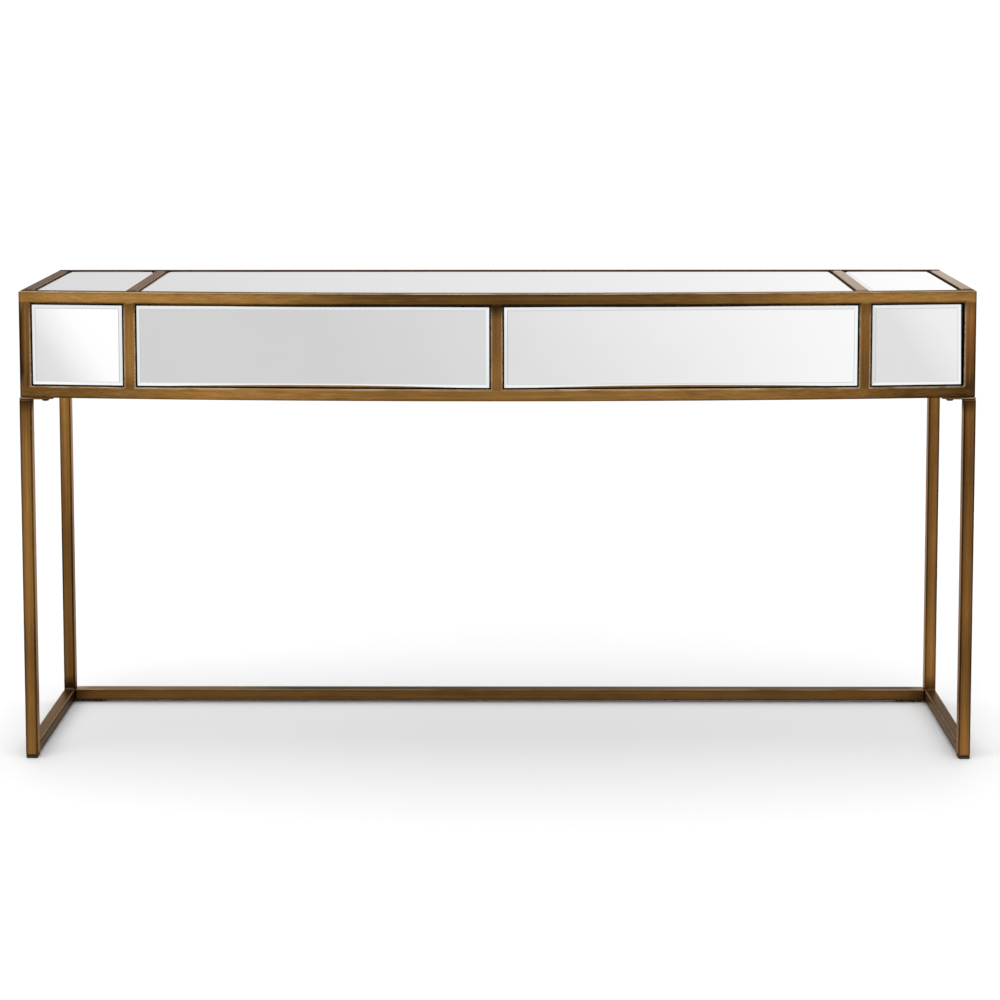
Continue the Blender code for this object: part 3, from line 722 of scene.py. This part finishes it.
# ---------------------------------------------------------------- end frames: two legs and a floor rail each
LEG_TOP = PLATE_Z1 - PLATE_T
REAR_LEG_Y0 = REAR_Y - TUBE_D
for side, label in ((-1, "left"), (1, "right")):
    a, b = sorted((side * HALF, side * (HALF - TUBE_W)))
    low = GLIDE_TOP
    boxes = [
        ((a, LEG_Y0, low), (b, LEG_Y1, LEG_TOP)),
        ((a, REAR_LEG_Y0, low), (b, REAR_Y, LEG_TOP)),
        ((a, LEG_Y0, low), (b, REAR_Y, FLOOR_Z1)),
    ]
    bm = lattice(
        boxes,
        (
            inner_lines(a, b),
            inner_lines(LEG_Y0, LEG_Y1) + inner_lines(REAR_LEG_Y0, REAR_Y) + steps_between(LEG_Y1, REAR_LEG_Y0, 0.024),
            inner_lines(low, FLOOR_Z1) + steps_between(FLOOR_Z1, LEG_TOP, 0.024),
        ),
    )

    def end_axis(c):
        return 1 if (c.z < FLOOR_Z1 and LEG_Y1 < c.y < REAR_LEG_Y0) else 2

    for f in bm.faces:
        f.material_index = end_axis(f.calc_center_median())
    rounding = round_edges(bm, ROUND)

    def leg_tone(co, n, side=side):
        front = co.y < LEG_Y1 + 0.001
        rear = co.y > REAR_LEG_Y0 - 0.001
        if not (front or rear):
            # the left floor rail darker near its rear leg
            grime_and_shade = 0.5 * near(co.y, REAR_LEG_Y0, 0.05) if side < 0 else 0.0
            tone = table_value(co.y, [(-0.15, 0.22 if side < 0 else 0.14), (0.05, 0.34 if side < 0 else 0.18), (0.20, 0.34 if side < 0 else 0.42)])
            # painted shade on the left floor rail's side faces and painted light on the right one's
            if abs(n.x) > 0.6:
                return tone - 0.16 if side < 0 else tone + 0.06, 0.0, 0.35, 0.9 if side < 0 else 0.7, grime_and_shade + (0.15 if side < 0 else 0.0)
            # the right floor rail's top face darker away from its rear leg
            return tone, 0.1, 0.35, 0.9, grime_and_shade + (0.0 if side < 0 else 0.20 * (1 - near(co.y, REAR_LEG_Y0, 0.09)))
        tone = table_value(co.z, LEG_TONE[(side, "front" if front else "rear")]) + (0.03 if rear else 0.0)
        # rear legs darker towards the bottom
        grime_and_shade = (0.7 if side < 0 else 0.2) * near(co.z, 0.023, 0.022) if rear else 0.0
        return tone, 0.25 if side > 0 else 0.1, 0.3, 1.0, grime_and_shade

    write_tone_and_light(bm, rounding, leg_tone, end_axis, ((a, b), (LEG_Y0, LEG_Y1, REAR_LEG_Y0, REAR_Y), (low, FLOOR_Z1, LEG_TOP)))
    emit(
        label + "_end_frame",
        bm,
        BRASS_LIST,
        replaces=["front_" + label + "_leg", "rear_" + label + "_leg", label + "_floor_rail"],
    )

# ---------------------------------------------------------------- rear stretcher
SX0, SX1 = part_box("rear_stretcher")[0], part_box("rear_stretcher")[1]
bm = lattice(
    [((SX0.x, SX0.y, SX0.z), (SX1.x, SX1.y, SX1.z))],
    (steps_between(SX0.x, SX1.x, 0.03), inner_lines(SX0.y, SX1.y), inner_lines(SX0.z, SX1.z)),
)
for f in bm.faces:
    f.material_index = 0
rounding = round_edges(bm, ROUND)


def stretcher_tone(co, n):
    end = 1 - min(1.0, (SX1.x - abs(co.x)) / 0.05)
    if n.z > 0.5:
        tone = table_value(co.x, [(-0.74, 0.46), (-0.55, 0.36), (-0.3, 0.10), (0.1, 0.12), (0.4, 0.16), (0.74, 0.12)])
        gain = table_value(co.x, [(-0.74, 0.5), (-0.50, 0.35), (-0.35, 0.2), (0.3, 0.26), (0.72, 0.5)])
        return tone, 0.1, gain, 0.5, 0.1 * end + table_value(co.x, [(-0.5, 0.0), (-0.35, 0.40), (-0.05, 0.30), (0.2, 0.20), (0.5, 0.05), (0.74, 0.25)])
    tone = table_value(co.x, [(-0.74, 0.40), (-0.5, 0.34), (0.0, 0.33), (0.4, 0.36), (0.74, 0.36)])
    return tone, 0.0, 0.45, 0.4, 0.1 * end


write_tone_and_light(bm, rounding, stretcher_tone, lambda c: 0, ((SX0.x, SX1.x), (SX0.y, SX1.y), (SX0.z, SX1.z)))
emit("rear_stretcher_tube", bm, BRASS_LIST, replaces=["rear_stretcher"])


# small drips of weld under its ends, along the front edge
for side, label in ((-1, "left"), (1, "right")):
    bm = bmesh.new()
    for k in range(9):
        s = k / 8
        jitter = noise.noise(Vector((k * 3.7, side * 2.1, 0.5)))
        x = side * (SX1.x - 0.006 - 0.041 * s - 0.0022 * jitter)
        r = 0.0016 + 0.0007 * noise.noise(Vector((k * 1.9, side * 5.3, 2.5)))
        where = Matrix.Translation((x, SX0.y + 0.0016, SX0.z - 0.0002 - 0.0005 * abs(jitter))) @ Matrix.Diagonal((1.35, 1.0, 0.95, 1))
        bmesh.ops.create_icosphere(bm, subdivisions=2, radius=r, matrix=where)
    layer = bm.verts.layers.float_color.new("tone_and_light")
    for v in bm.verts:
        v.co += 0.0003 * noise.noise_vector(v.co * 900)
        v[layer] = (0.14, 0.3, 0.0, 0.0)
    emit(label + "_stretcher_drips", bm, [BRASS["x"]])

# ---------------------------------------------------------------- plates, tabs, screws and glides
def flat_plate(name, outline, z0, z1, replaces, tone=0.30, radius=0.0015):
    """Plate with softened rims, in layers of its outline."""
    h = z1 - z0
    c = min(0.0007, h * 0.3)
    bm = bmesh.new()
    rings = []
    for d, z in ((c, z0), (c * 0.3, z0 + c * 0.3), (0, z0 + c), (0, z1 - c), (c * 0.3, z1 - c * 0.3), (c, z1)):
        rings.append([(u, v, z) for u, v in outline_at(outline, radius, d, 4)])
    stack(bm, rings)
    layer = bm.verts.layers.float_color.new("tone_and_light")
    for v in bm.verts:
        # painted highlight on the upper half and painted shade on the underside
        under = v.co.z < (z0 + z1) / 2
        v[layer] = (tone - 0.1, 0.9, 0.1, 0.0) if under else (tone + 0.25, 0.0, 0.0, 0.5)
    return emit(name, bm, [BRASS["x"]], replaces=replaces)


def plate_outline(side, y0):
    length = HALF - PLATE_X
    pts = [(0, 0), (length - 0.008, 0), (length, 0.007), (length, TUBE_D - 0.007), (length - 0.008, TUBE_D), (0, TUBE_D)]
    pts = [(side * (HALF - u), y0 + v) for u, v in pts]
    if side > 0:
        pts.reverse()
    return pts


def revolve(bm, x, y, profile, n=32, index=0):
    """Surface of revolution about a vertical line, from (radius, z) pairs."""
    rings = [
        [(x + r * math.cos(2 * math.pi * k / n), y + r * math.sin(2 * math.pi * k / n), z) for k in range(n)]
        for r, z in profile
    ]
    made = stack(bm, rings)
    return made


def screw_piece(name, x, y, z_head, head_r, head_h, shank_r, z_top, node):
    """Pan-head screw seen from below: a domed head with a cross recess on a washer."""
    bm = bmesh.new()
    n = 32
    rings = []
    cross = 0.34 * head_r
    levels = [(0.0, 0.40), (0.22, 0.36), (0.50, 0.16), (0.78, 0.10), (0.94, 0.36), (1.0, 0.70), (0.985, 1.0)]
    made = []
    for r, h in levels[1:]:
        ring = []
        for k in range(n):
            a = 2 * math.pi * k / n
            depth = h * head_h
            if r <= 0.5:
                arm = max(abs(math.cos(2 * a)), 0) ** 6
                depth += (1 - arm) * -0.10 * head_h + arm * 0.32 * head_h * (1 if r < 0.3 else 0.4)
            ring.append((x + r * head_r * math.cos(a), y + r * head_r * math.sin(a), z_head + depth))
        rings.append(ring)
    for r, z in ((shank_r, z_head + head_h), (shank_r, z_top - 0.0005), (shank_r * 0.75, z_top)):
        rings.append([(x + r * math.cos(2 * math.pi * k / n), y + r * math.sin(2 * math.pi * k / n), z) for k in range(n)])
    made = [[bm.verts.new(p) for p in ring] for ring in rings]
    for a, b in zip(made, made[1:]):
        for j in range(n):
            bm.faces.new((a[j], a[(j + 1) % n], b[(j + 1) % n], b[j]))
    bottom = bm.verts.new((x, y, z_head + levels[0][1] * head_h + 0.3 * head_h))
    for j in range(n):
        bm.faces.new((made[0][(j + 1) % n], made[0][j], bottom))
    bm.faces.new(made[-1])
    return emit(name, bm, [SCREW], replaces=[node])


for side, label in ((-1, "left"), (1, "right")):
    for where, y0 in (("front", LEG_Y0), ("rear", REAR_LEG_Y0)):
        spot = where + "_" + label
        flat_plate(spot + "_mount_plate", plate_outline(side, y0), PLATE_Z1 - PLATE_T, PLATE_Z1, [spot + "_leg"])
        lo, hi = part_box(spot + "_plate_screw")
        c = (lo + hi) / 2
        screw_piece(spot + "_mount_screw", c.x, c.y, lo.z, (hi.x - lo.x) / 2, 0.0034, 0.0029, hi.z, spot + "_plate_screw")
        lo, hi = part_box(spot + "_glide")
        bm = bmesh.new()
        w, d = hi.x - lo.x, hi.y - lo.y

        def pad(e, z, lo=lo, hi=hi):
            return [(u, v, z) for u, v in rounded(rect(lo.x + e, lo.y + e, hi.x - e, hi.y - e), 0.0021, 4)]

        plug = 0.0021
        stack(
            bm,
            [pad(0.0016, 0.0), pad(0.0006, 0.0004), pad(0.0001, 0.0012), pad(0.0001, 0.0034), pad(0.0004, 0.0039),
             pad(plug, 0.0039), pad(plug, 0.0042)],
        )
        emit(spot + "_foot_glide", bm, [PLASTIC], replaces=[spot + "_glide"])
    lo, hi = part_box(label + "_stretcher_tab")
    flat_plate(
        label + "_bolting_tab", rect(lo.x, lo.y, hi.x, hi.y), lo.z, hi.z, [label + "_stretcher_tab"], 0.35, 0.003
    )
    lo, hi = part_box(label + "_tab_screw")
    c = (lo + hi) / 2
    screw_piece(label + "_bolting_screw", c.x, c.y, lo.z, (hi.x - lo.x) / 2, 0.0016, 0.0021, hi.z, label + "_tab_screw")


# ---------------------------------------------------------------- weld beads in the inner corners of the end frames
def weld_bead(name, a, b, out, radius, seed):
    """Small uneven bead from a to b, bulging towards out, sunk into the corner it fills."""
    a, b = Vector(a), Vector(b)
    run = (b - a).normalized()
    out = Vector(out).normalized()
    cross = run.cross(out)
    bm = bmesh.new()
    count, n = 18, 10
    rings = []
    for k in range(count + 1):
        s = k / count
        swell = math.sin(math.pi * min(1, max(0, s)) ** 0.9) ** 0.35 if 0 < s < 1 else 0.25
        ripple = 1 + 0.16 * noise.noise(Vector((s * 9.0 + seed, seed * 1.7, 0.3))) + 0.05 * math.sin(s * 46 + seed)
        r = radius * swell * ripple
        centre = a.lerp(b, s)
        ring = []
        for j in range(n):
            t = 2 * math.pi * j / n
            ring.append(tuple(centre + out * (r * math.cos(t)) + cross * (r * math.sin(t))))
        rings.append(ring)
    stack(bm, rings)
    layer = bm.verts.layers.float_color.new("tone_and_light")
    for v in bm.verts:
        v[layer] = (0.30, 0.25, 0.3, 0.15)
    return emit(name, bm, [BRASS["x"]])


for side, label in ((-1, "left"), (1, "right")):
    xa, xb = side * (HALF - 0.0025), side * (HALF - TUBE_W + 0.0025)
    weld_bead(label + "_front_weld", (xa, LEG_Y1 + 0.0006, FLOOR_Z1 + 0.0006), (xb, LEG_Y1 + 0.0006, FLOOR_Z1 + 0.0006), (0, 1, 1), 0.0026, 1.3 + side)
    weld_bead(label + "_rear_weld", (xa, REAR_LEG_Y0 - 0.0006, FLOOR_Z1 + 0.0006), (xb, REAR_LEG_Y0 - 0.0006, FLOOR_Z1 + 0.0006), (0, -1, 1), 0.0030, 4.1 + side)


# ---------------------------------------------------------------- mirror glass and its boards
PROFILE = [  # inset, height below the face, material: 0 face, 1 bevel, 2 edge
    (0.0, GLASS_T, 2),
    (0.0, BEVEL_DROP + 0.0005, 2),
    (0.0005, BEVEL_DROP, 1),
    (BEVEL - 0.0013, 0.00022, 1),
    (BEVEL, 0.0, 0),
]


def glass_panel(name, outline, place, body="table", replaces=(), bevel_mat=GLASS_BEVEL, radius=0.0008, plain=None):
    """Bevelled glass: place takes (u, v, depth below the face) to space."""
    bm = bmesh.new()
    rings = []
    for d, depth, m in PROFILE:
        rings.append([place(u, v, depth) for u, v in outline_at(outline, radius, d)])
    stack(bm, rings, [2, 2, 1, 3, 2, 0])
    bm.normal_update()
    for f in bm.faces:
        if plain and f.material_index == 1 and plain(f.normal):
            f.material_index = 0
    return emit(name, bm, [GLASS, bevel_mat, EDGE, GLASS_SEAM], body, replaces, smooth=False)


def board_panel(name, outline, place, depth0, depth1, body="table", replaces=()):
    bm = bmesh.new()
    c = 0.0006
    rings = []
    for d, depth in ((c, depth0), (0, depth0 + c), (0, depth1 - c), (c, depth1)):
        rings.append([place(u, v, depth) for u, v in outline_at(outline, 0.001, d)])
    stack(bm, rings)
    return emit(name, bm, [BLACK], body, replaces, smooth=False)


def arc_line(x0, x1, back, step=0.012):
    n = max(2, math.ceil((x1 - x0) / step))
    return [(x0 + (x1 - x0) * k / n, arc(x0 + (x1 - x0) * k / n) + back) for k in range(n + 1)]


for label in ("left", "center", "right"):
    node = "top_" + label + "_mirror_panel"
    lo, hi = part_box(node)
    gap = REAR_Y - TUBE_D - hi.y
    outline = arc_line(lo.x, hi.x, TUBE_D + gap) + [(hi.x, hi.y), (lo.x, hi.y)]
    top = TOP_Z1 - RECESS
    glass_panel(
        "top_" + label + "_mirror",
        outline,
        lambda u, v, d: (u, v, top - d),
        replaces=[node],
        bevel_mat=GLASS_TOP_BEVEL,
        plain=lambda n, left=label == "right": abs(n.y) < 0.1 and (n.x > 0.1 or (left and n.x < -0.1)),
    )
    board_panel("top_" + label + "_board", inset(outline, 0.0004), lambda u, v, d: (u, v, top - d), GLASS_T + 0.0002, top - lo.z, replaces=[node])

FRONT_BAYS = {
    "front_left": (-INNER_X, -DIV_X1, "table", "front_left_mirror_panel"),
    "left_drawer": (-DIV_X0, -TUBE_W / 2, "left_drawer", "left_drawer_mirror"),
    "right_drawer": (TUBE_W / 2, DIV_X0, "right_drawer", "right_drawer_mirror"),
    "front_right": (DIV_X1, INNER_X, "table", "front_right_mirror_panel"),
}


def chord(xa, xb):
    """Flat face line of a front bay: (y of x, length along the face for each metre of x)."""
    ya, yb = arc(xa) + RECESS, arc(xb) + RECESS
    slope = (yb - ya) / (xb - xa)
    return (lambda x: ya + slope * (x - xa)), math.sqrt(1 + slope * slope)


for bay, (xa, xb, body, node) in FRONT_BAYS.items():
    lo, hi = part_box(node)
    face, stretch = chord(xa, xb)

    def place(u, v, d, face=face, stretch=stretch):
        return (u, face(u) + d * stretch, v)

    outline = rect(lo.x, lo.z, hi.x, hi.z)
    glass = list(outline)
    if bay == "front_right":  # hung a little to the left, so the board shows beside it
        glass[1], glass[2] = (hi.x - 0.0018, lo.z), (hi.x - 0.0036, hi.z)
    glass_panel(bay + "_mirror_glass", glass, place, body, [node])
    if body == "table":
        board_panel(bay + "_board", inset(outline, 0.0004), place, GLASS_T + 0.0002, GLASS_T + 0.0127, body, [node])
    else:
        board_panel(bay + "_front_board", inset(outline, 0.0004), place, GLASS_T + 0.0003, GLASS_T + 0.0130, body, [bay + "_front"])

for side, label in ((-1, "left"), (1, "right")):
    node = label + "_side_mirror_panel"
    lo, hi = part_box(node)
    face_x = max(abs(lo.x), abs(hi.x))

    def place(u, v, d, side=side, face_x=face_x):
        return (side * (face_x - d), u, v)

    outline = rect(lo.y, lo.z, hi.y, hi.z)
    glass_panel(label + "_side_mirror", outline, place, replaces=[node])
    board_panel(label + "_side_board", inset(outline, 0.0004), place, GLASS_T + 0.0002, GLASS_T + 0.0127, replaces=[node])


# ---------------------------------------------------------------- CAD boards that stay, softened at their edges
def dress(node, mats, width, segments=2):
    obj = NODES[node]
    obj.data.materials.clear()
    for mat in mats:
        obj.data.materials.append(mat)
    if width:
        mod = obj.modifiers.new("soften", "BEVEL")
        mod.width, mod.segments, mod.limit_method, mod.angle_limit = width, segments, "ANGLE", math.radians(35)
    return obj


for node in ("bottom_panel", "left_partition", "center_partition", "right_partition"):
    dress(node, [BLACK], 0.0008)
dress("back_panel", [BACKING], 0.0006)


def back_screw(name, x, z, y_face):
    """Small domed screw in the back panel."""
    bm = bmesh.new()
    n = 20
    rings = []
    for r, d in ((0.0034, 0.0), (0.0034, 0.0004), (0.0030, 0.0011), (0.0020, 0.0016), (0.0012, 0.0017), (0.0010, 0.0010)):
        rings.append([(x + r * math.cos(2 * math.pi * k / n), y_face + d, z + r * math.sin(2 * math.pi * k / n)) for k in range(n)])
    stack(bm, rings)
    emit(name, bm, [SCREW])


lo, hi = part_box("back_panel")
for k, x in enumerate([lo.x + 0.016 + (hi.x - lo.x - 0.032) * j / 6 for j in range(7)]):
    back_screw(f"back_screw_top_{k}", x, hi.z - 0.010, hi.y)
    back_screw(f"back_screw_low_{k}", x, lo.z + 0.010, hi.y)


# ---------------------------------------------------------------- drawer boxes
def y_near(node, x, pick):
    ys = [v.co.y for v in NODES[node].data.vertices if abs(v.co.x - x) < 1e-4]
    return pick(ys)


def beam(bm, plan, z0, z1, soft, index):
    """Upright board from a plan outline, with softened rims."""
    rings = []
    for d, z in ((soft, z0), (0, z0 + soft), (0, z1 - soft), (soft * 0.3, z1 - soft * 0.3), (soft, z1)):
        rings.append([(u, v, z) for u, v in outline_at(plan, soft, d, 3)])
    start = len(bm.faces)
    stack(bm, rings)
    bm.faces.ensure_lookup_table()
    for f in bm.faces[start:]:
        f.material_index = index


WALL, FLOOR_T = 0.012, 0.006
for label in ("left", "right"):
    body = label + "_drawer"
    node = body + "_box"
    lo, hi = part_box(node)
    ya, yb = y_near(node, lo.x, min), y_near(node, hi.x, min)
    slope = (yb - ya) / (hi.x - lo.x)

    def front_at(x, extra=0.0, ya=ya, slope=slope, lo=lo):
        return ya + slope * (x - lo.x) + extra

    for end, x0, x1 in (("outer" if label == "left" else "inner", lo.x, lo.x + WALL), ("inner" if label == "left" else "outer", hi.x - WALL, hi.x)):
        bm = bmesh.new()
        plan = [(x0, front_at(x0)), (x1, front_at(x1)), (x1, hi.y), (x0, hi.y)]
        beam(bm, plan, lo.z, hi.z, 0.0015, 0)
        emit(body + "_" + end + "_side", bm, [WOOD_Y], body, [node])
    bm = bmesh.new()
    x0, x1 = lo.x + WALL + 0.0002, hi.x - WALL - 0.0002
    beam(bm, [(x0, front_at(x0, 0.0)), (x1, front_at(x1, 0.0)), (x1, front_at(x1, WALL)), (x0, front_at(x0, WALL))], lo.z, hi.z, 0.0015, 0)
    emit(body + "_box_front", bm, [WOOD_X], body, [node])
    bm = bmesh.new()
    beam(bm, [(x0, hi.y - WALL), (x1, hi.y - WALL), (x1, hi.y), (x0, hi.y)], lo.z, hi.z, 0.0015, 0)
    emit(body + "_box_back", bm, [WOOD_X], body, [node])
    bm = bmesh.new()
    e = 0.0003
    plan = [(x0 + e, front_at(x0, WALL + e)), (x1 - e, front_at(x1, WALL + e)), (x1 - e, hi.y - WALL - e), (x0 + e, hi.y - WALL - e)]
    beam(bm, plan, lo.z + 0.002, lo.z + 0.002 + FLOOR_T, 0.0005, 0)
    emit(body + "_floor", bm, [WOOD_X], body, [node])


# ---------------------------------------------------------------- runners and latches
def channel_piece(name, node, body, up):
    """Rolled U channel with rounded folds."""
    lo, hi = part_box(node)
    t = 0.0012
    w0, w1 = lo.x, hi.x
    z0, z1 = lo.z, hi.z
    if up:
        pts = [(w0, z1), (w0, z0), (w1, z0), (w1, z1), (w1 - t, z1), (w1 - t, z0 + t), (w0 + t, z0 + t), (w0 + t, z1)]
    else:
        pts = [(w0, z0), (w0 + t, z0), (w0 + t, z1 - t), (w1 - t, z1 - t), (w1 - t, z0), (w1, z0), (w1, z1), (w0, z1)]
    bm = bmesh.new()
    rings = [[(x, y, z) for x, z in pts] for y in (lo.y, (lo.y * 2 + hi.y) / 3, (lo.y + hi.y * 2) / 3, hi.y)]
    stack(bm, rings)
    bmesh.ops.recalc_face_normals(bm, faces=bm.faces)
    folds = [e for e in bm.edges if len(e.link_faces) == 2 and e.calc_face_angle() > 0.6]
    bmesh.ops.bevel(bm, geom=folds, offset=0.0004, offset_type="OFFSET", segments=2, profile=0.5, affect="EDGES", clamp_overlap=True)
    emit(name, bm, [ZINC], body, [node])


for label in ("left", "right"):
    channel_piece(label + "_case_channel", label + "_case_runner", "table", True)
    channel_piece(label + "_drawer_channel", label + "_drawer_runner", label + "_drawer", False)
    dress(label + "_push_latch", [PLASTIC], 0.0008)

# ---------------------------------------------------------------- floor
bm = bmesh.new()
count, rings_n, reach = 96, 14, 2.7
centre = bm.verts.new((0, 0, 0))
last = None
for k in range(1, rings_n + 1):
    r = reach * (k / rings_n) ** 1.6
    ring = [bm.verts.new((r * math.cos(2 * math.pi * j / count), r * math.sin(2 * math.pi * j / count), 0)) for j in range(count)]
    for j in range(count):
        if last is None:
            bm.faces.new((centre, ring[j], ring[(j + 1) % count]))
        else:
            bm.faces.new((last[j], ring[j], ring[(j + 1) % count], last[(j + 1) % count]))
    last = ring
mesh = bpy.data.meshes.new("studio_floor")
bm.to_mesh(mesh)
bm.free()
floor = bpy.data.objects.new("studio_floor", mesh)
bpy.context.scene.collection.objects.link(floor)
FLOOR_MAT = bpy.data.materials.new("studio_floor")
t = Tree(FLOOR_MAT)
co = t.coords()
fleck = t.noise(t.mapping(co, (3.0, 3.0, 3.0)), 1.0, 3.0)
mirrored = t.node("ShaderNodeLightPath").outputs["Is Glossy Ray"]  # a shade greyer in the mirrors, so they stand off the floor
# painted shade: the floor's colour is darker only where a mirror reflects it
floor_colour_and_reflected_shade = t.mix(mirrored, t.mix(fleck, (0.905, 0.905, 0.908), (0.915, 0.915, 0.917)), (0.78, 0.78, 0.785))
t.principled(Base_Color=floor_colour_and_reflected_shade, Roughness=0.9, Specular_IOR_Level=0.2)
mesh.materials.append(FLOOR_MAT)
floor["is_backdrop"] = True

# ---------------------------------------------------------------- studio: world by direction, a side softbox and overhead light
world = bpy.data.worlds.new("studio")
bpy.context.scene.world = world
w = Tree(world)
direction = w.coords("Generated")
sep = w.node("ShaderNodeSeparateXYZ")
w.put(sep.inputs[0], direction)
dx, dy, dz = sep.outputs
elevation = w.math("ARCSINE", dz)
front_az = w.math("ARCTAN2", dx, w.mul(dy, -1.0))
back_az = w.math("ARCTAN2", dx, dy)
skew = w.add(front_az, w.mul(w.math("ADD", elevation, 0.105), 0.63))


def stops(points, low, high):
    return [((a - low) / (high - low), v) for a, v in points]


front_level = w.ramp(
    w.map_range(skew, -1.0, 1.0, smooth=False),
    stops(
        [(-1.0, 0.90), (-0.80, 0.84), (-0.60, 0.82), (-0.46, 0.78), (-0.412, 0.795), (-0.4065, 0.832), (-0.3965, 1.01),
         (-0.391, 1.09), (-0.38, 1.12), (-0.30, 1.06), (-0.275, 0.86), (-0.252, 0.712), (-0.17, 0.715), (-0.14, 0.752),
         (-0.113, 0.785), (0.0, 0.81), (0.096, 0.815), (0.15, 0.92), (0.206, 1.03), (0.27, 1.05), (0.31, 0.98),
         (0.338, 0.81), (0.367, 0.823), (0.371, 0.845), (0.376, 0.895), (0.382, 0.936), (0.42, 1.0), (0.7, 0.97),
         (1.0, 0.92)],
        -1.0, 1.0,
    ),
)
back_level = w.ramp(
    w.map_range(back_az, -1.0, 1.0, smooth=False),
    stops([(-1.0, 0.80), (-0.17, 0.735), (-0.117, 0.765), (-0.037, 0.815), (0.022, 0.857), (0.081, 0.925), (0.11, 0.97),
           (0.157, 1.04), (0.3, 1.08), (1.0, 1.0)], -1.0, 1.0),
)
is_back = w.map_range(dy, -0.15, 0.15)
low_back = w.mix(w.map_range(elevation, 0.024, 0.046), (1.04, 1.04, 1.04), back_level)
side_level = w.mix(is_back, front_level, low_back)
high = w.mix(w.map_range(elevation, 0.70, 1.10), (1.22, 1.22, 1.22), (0.56, 0.56, 0.56))
rise = w.mix(is_back, w.map_range(elevation, 0.03, 0.26), w.map_range(elevation, 0.22, 0.45))
level = w.mix(rise, side_level, high)
flag = w.mul(
    w.map_range(w.math("ABSOLUTE", dy), 0.10, 0.45, 1.0, 0.0),
    w.mul(w.map_range(elevation, 0.35, 0.70, 1.0, 0.0), w.map_range(elevation, -0.6, -0.3, 0.0, 1.0)),
)
level = w.mix(w.mul(flag, 0.62), level, (0.05, 0.05, 0.055))
path = w.node("ShaderNodeLightPath").outputs
upper = w.mix(is_back, w.map_range(elevation, 0.12, 0.26), w.map_range(elevation, 0.33, 0.46))
level = w.mix(w.mul(w.mul(path["Is Glossy Ray"], upper), 0.42), level, (0.35, 0.35, 0.36))
seen = path["Is Camera Ray"]
level = w.mix(seen, level, (1.03, 1.03, 1.03))
background = w.node("ShaderNodeBackground")
w.put(background.inputs["Color"], level)
background.inputs["Strength"].default_value = 1.0
w.t.links.new(background.outputs[0], w.node("ShaderNodeOutputWorld").inputs["Surface"])


def softbox(name, size, size_y, energy, place, aim):
    light = bpy.data.lights.new(name, "AREA")
    light.shape, light.size, light.size_y, light.energy = "RECTANGLE", size, size_y, energy
    box = bpy.data.objects.new(name, light)
    bpy.context.scene.collection.objects.link(box)
    box.location = place
    box.rotation_mode = "QUATERNION"
    box.rotation_quaternion = (Vector(aim) - Vector(place)).to_track_quat("-Z", "Y")


softbox("softbox_side", 1.6, 1.0, 12.0, (-2.4, -2.4, 2.6), (-0.2, 0, 0.5))
for name, tilt in (("overhead_front", 18), ("overhead_middle", 0), ("overhead_rear", -18)):
    overhead = bpy.data.lights.new(name, "SUN")
    overhead.angle, overhead.energy = math.radians(23), 0.325
    lamp = bpy.data.objects.new(name, overhead)
    lamp.rotation_euler = (math.radians(tilt), 0, 0)
    bpy.context.scene.collection.objects.link(lamp)

# ---------------------------------------------------------------- camera
FIT = {"f": 2804.26, "pitch": 0.105487, "roll": -0.00105684, "yaw": -0.00796064, "x": 0.040083, "z": 1.1650, "d": 4.60763}
SHIFT_Y = -0.17
cam_data = bpy.data.cameras.new("camera")
cam_data.sensor_width = 36.0
cam_data.lens = FIT["f"] / 1000 * 36
cam_data.shift_y = SHIFT_Y
cam_data.clip_start, cam_data.clip_end = 0.05, 100
camera = bpy.data.objects.new("camera", cam_data)
bpy.context.scene.collection.objects.link(camera)
s, c = math.sin(FIT["yaw"]), math.cos(FIT["yaw"])
sp, cp = math.sin(FIT["pitch"]), math.cos(FIT["pitch"])
forward = Vector((s * cp, c * cp, -sp))
right0, up0 = Vector((c, -s, 0)), Vector((s * sp, c * sp, cp))
sr, cr = math.sin(FIT["roll"]), math.cos(FIT["roll"])
right = cr * right0 + sr * up0
up = -sr * right0 + cr * up0
m = Matrix((right, up, -forward)).transposed().to_4x4()
m.translation = Vector((FIT["x"], -FIT["d"], FIT["z"]))
camera.matrix_world = m
bpy.context.scene.camera = camera
bpy.context.scene.view_settings.view_transform = "Standard"
bpy.context.scene.view_settings.look = "None"

lo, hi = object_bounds()
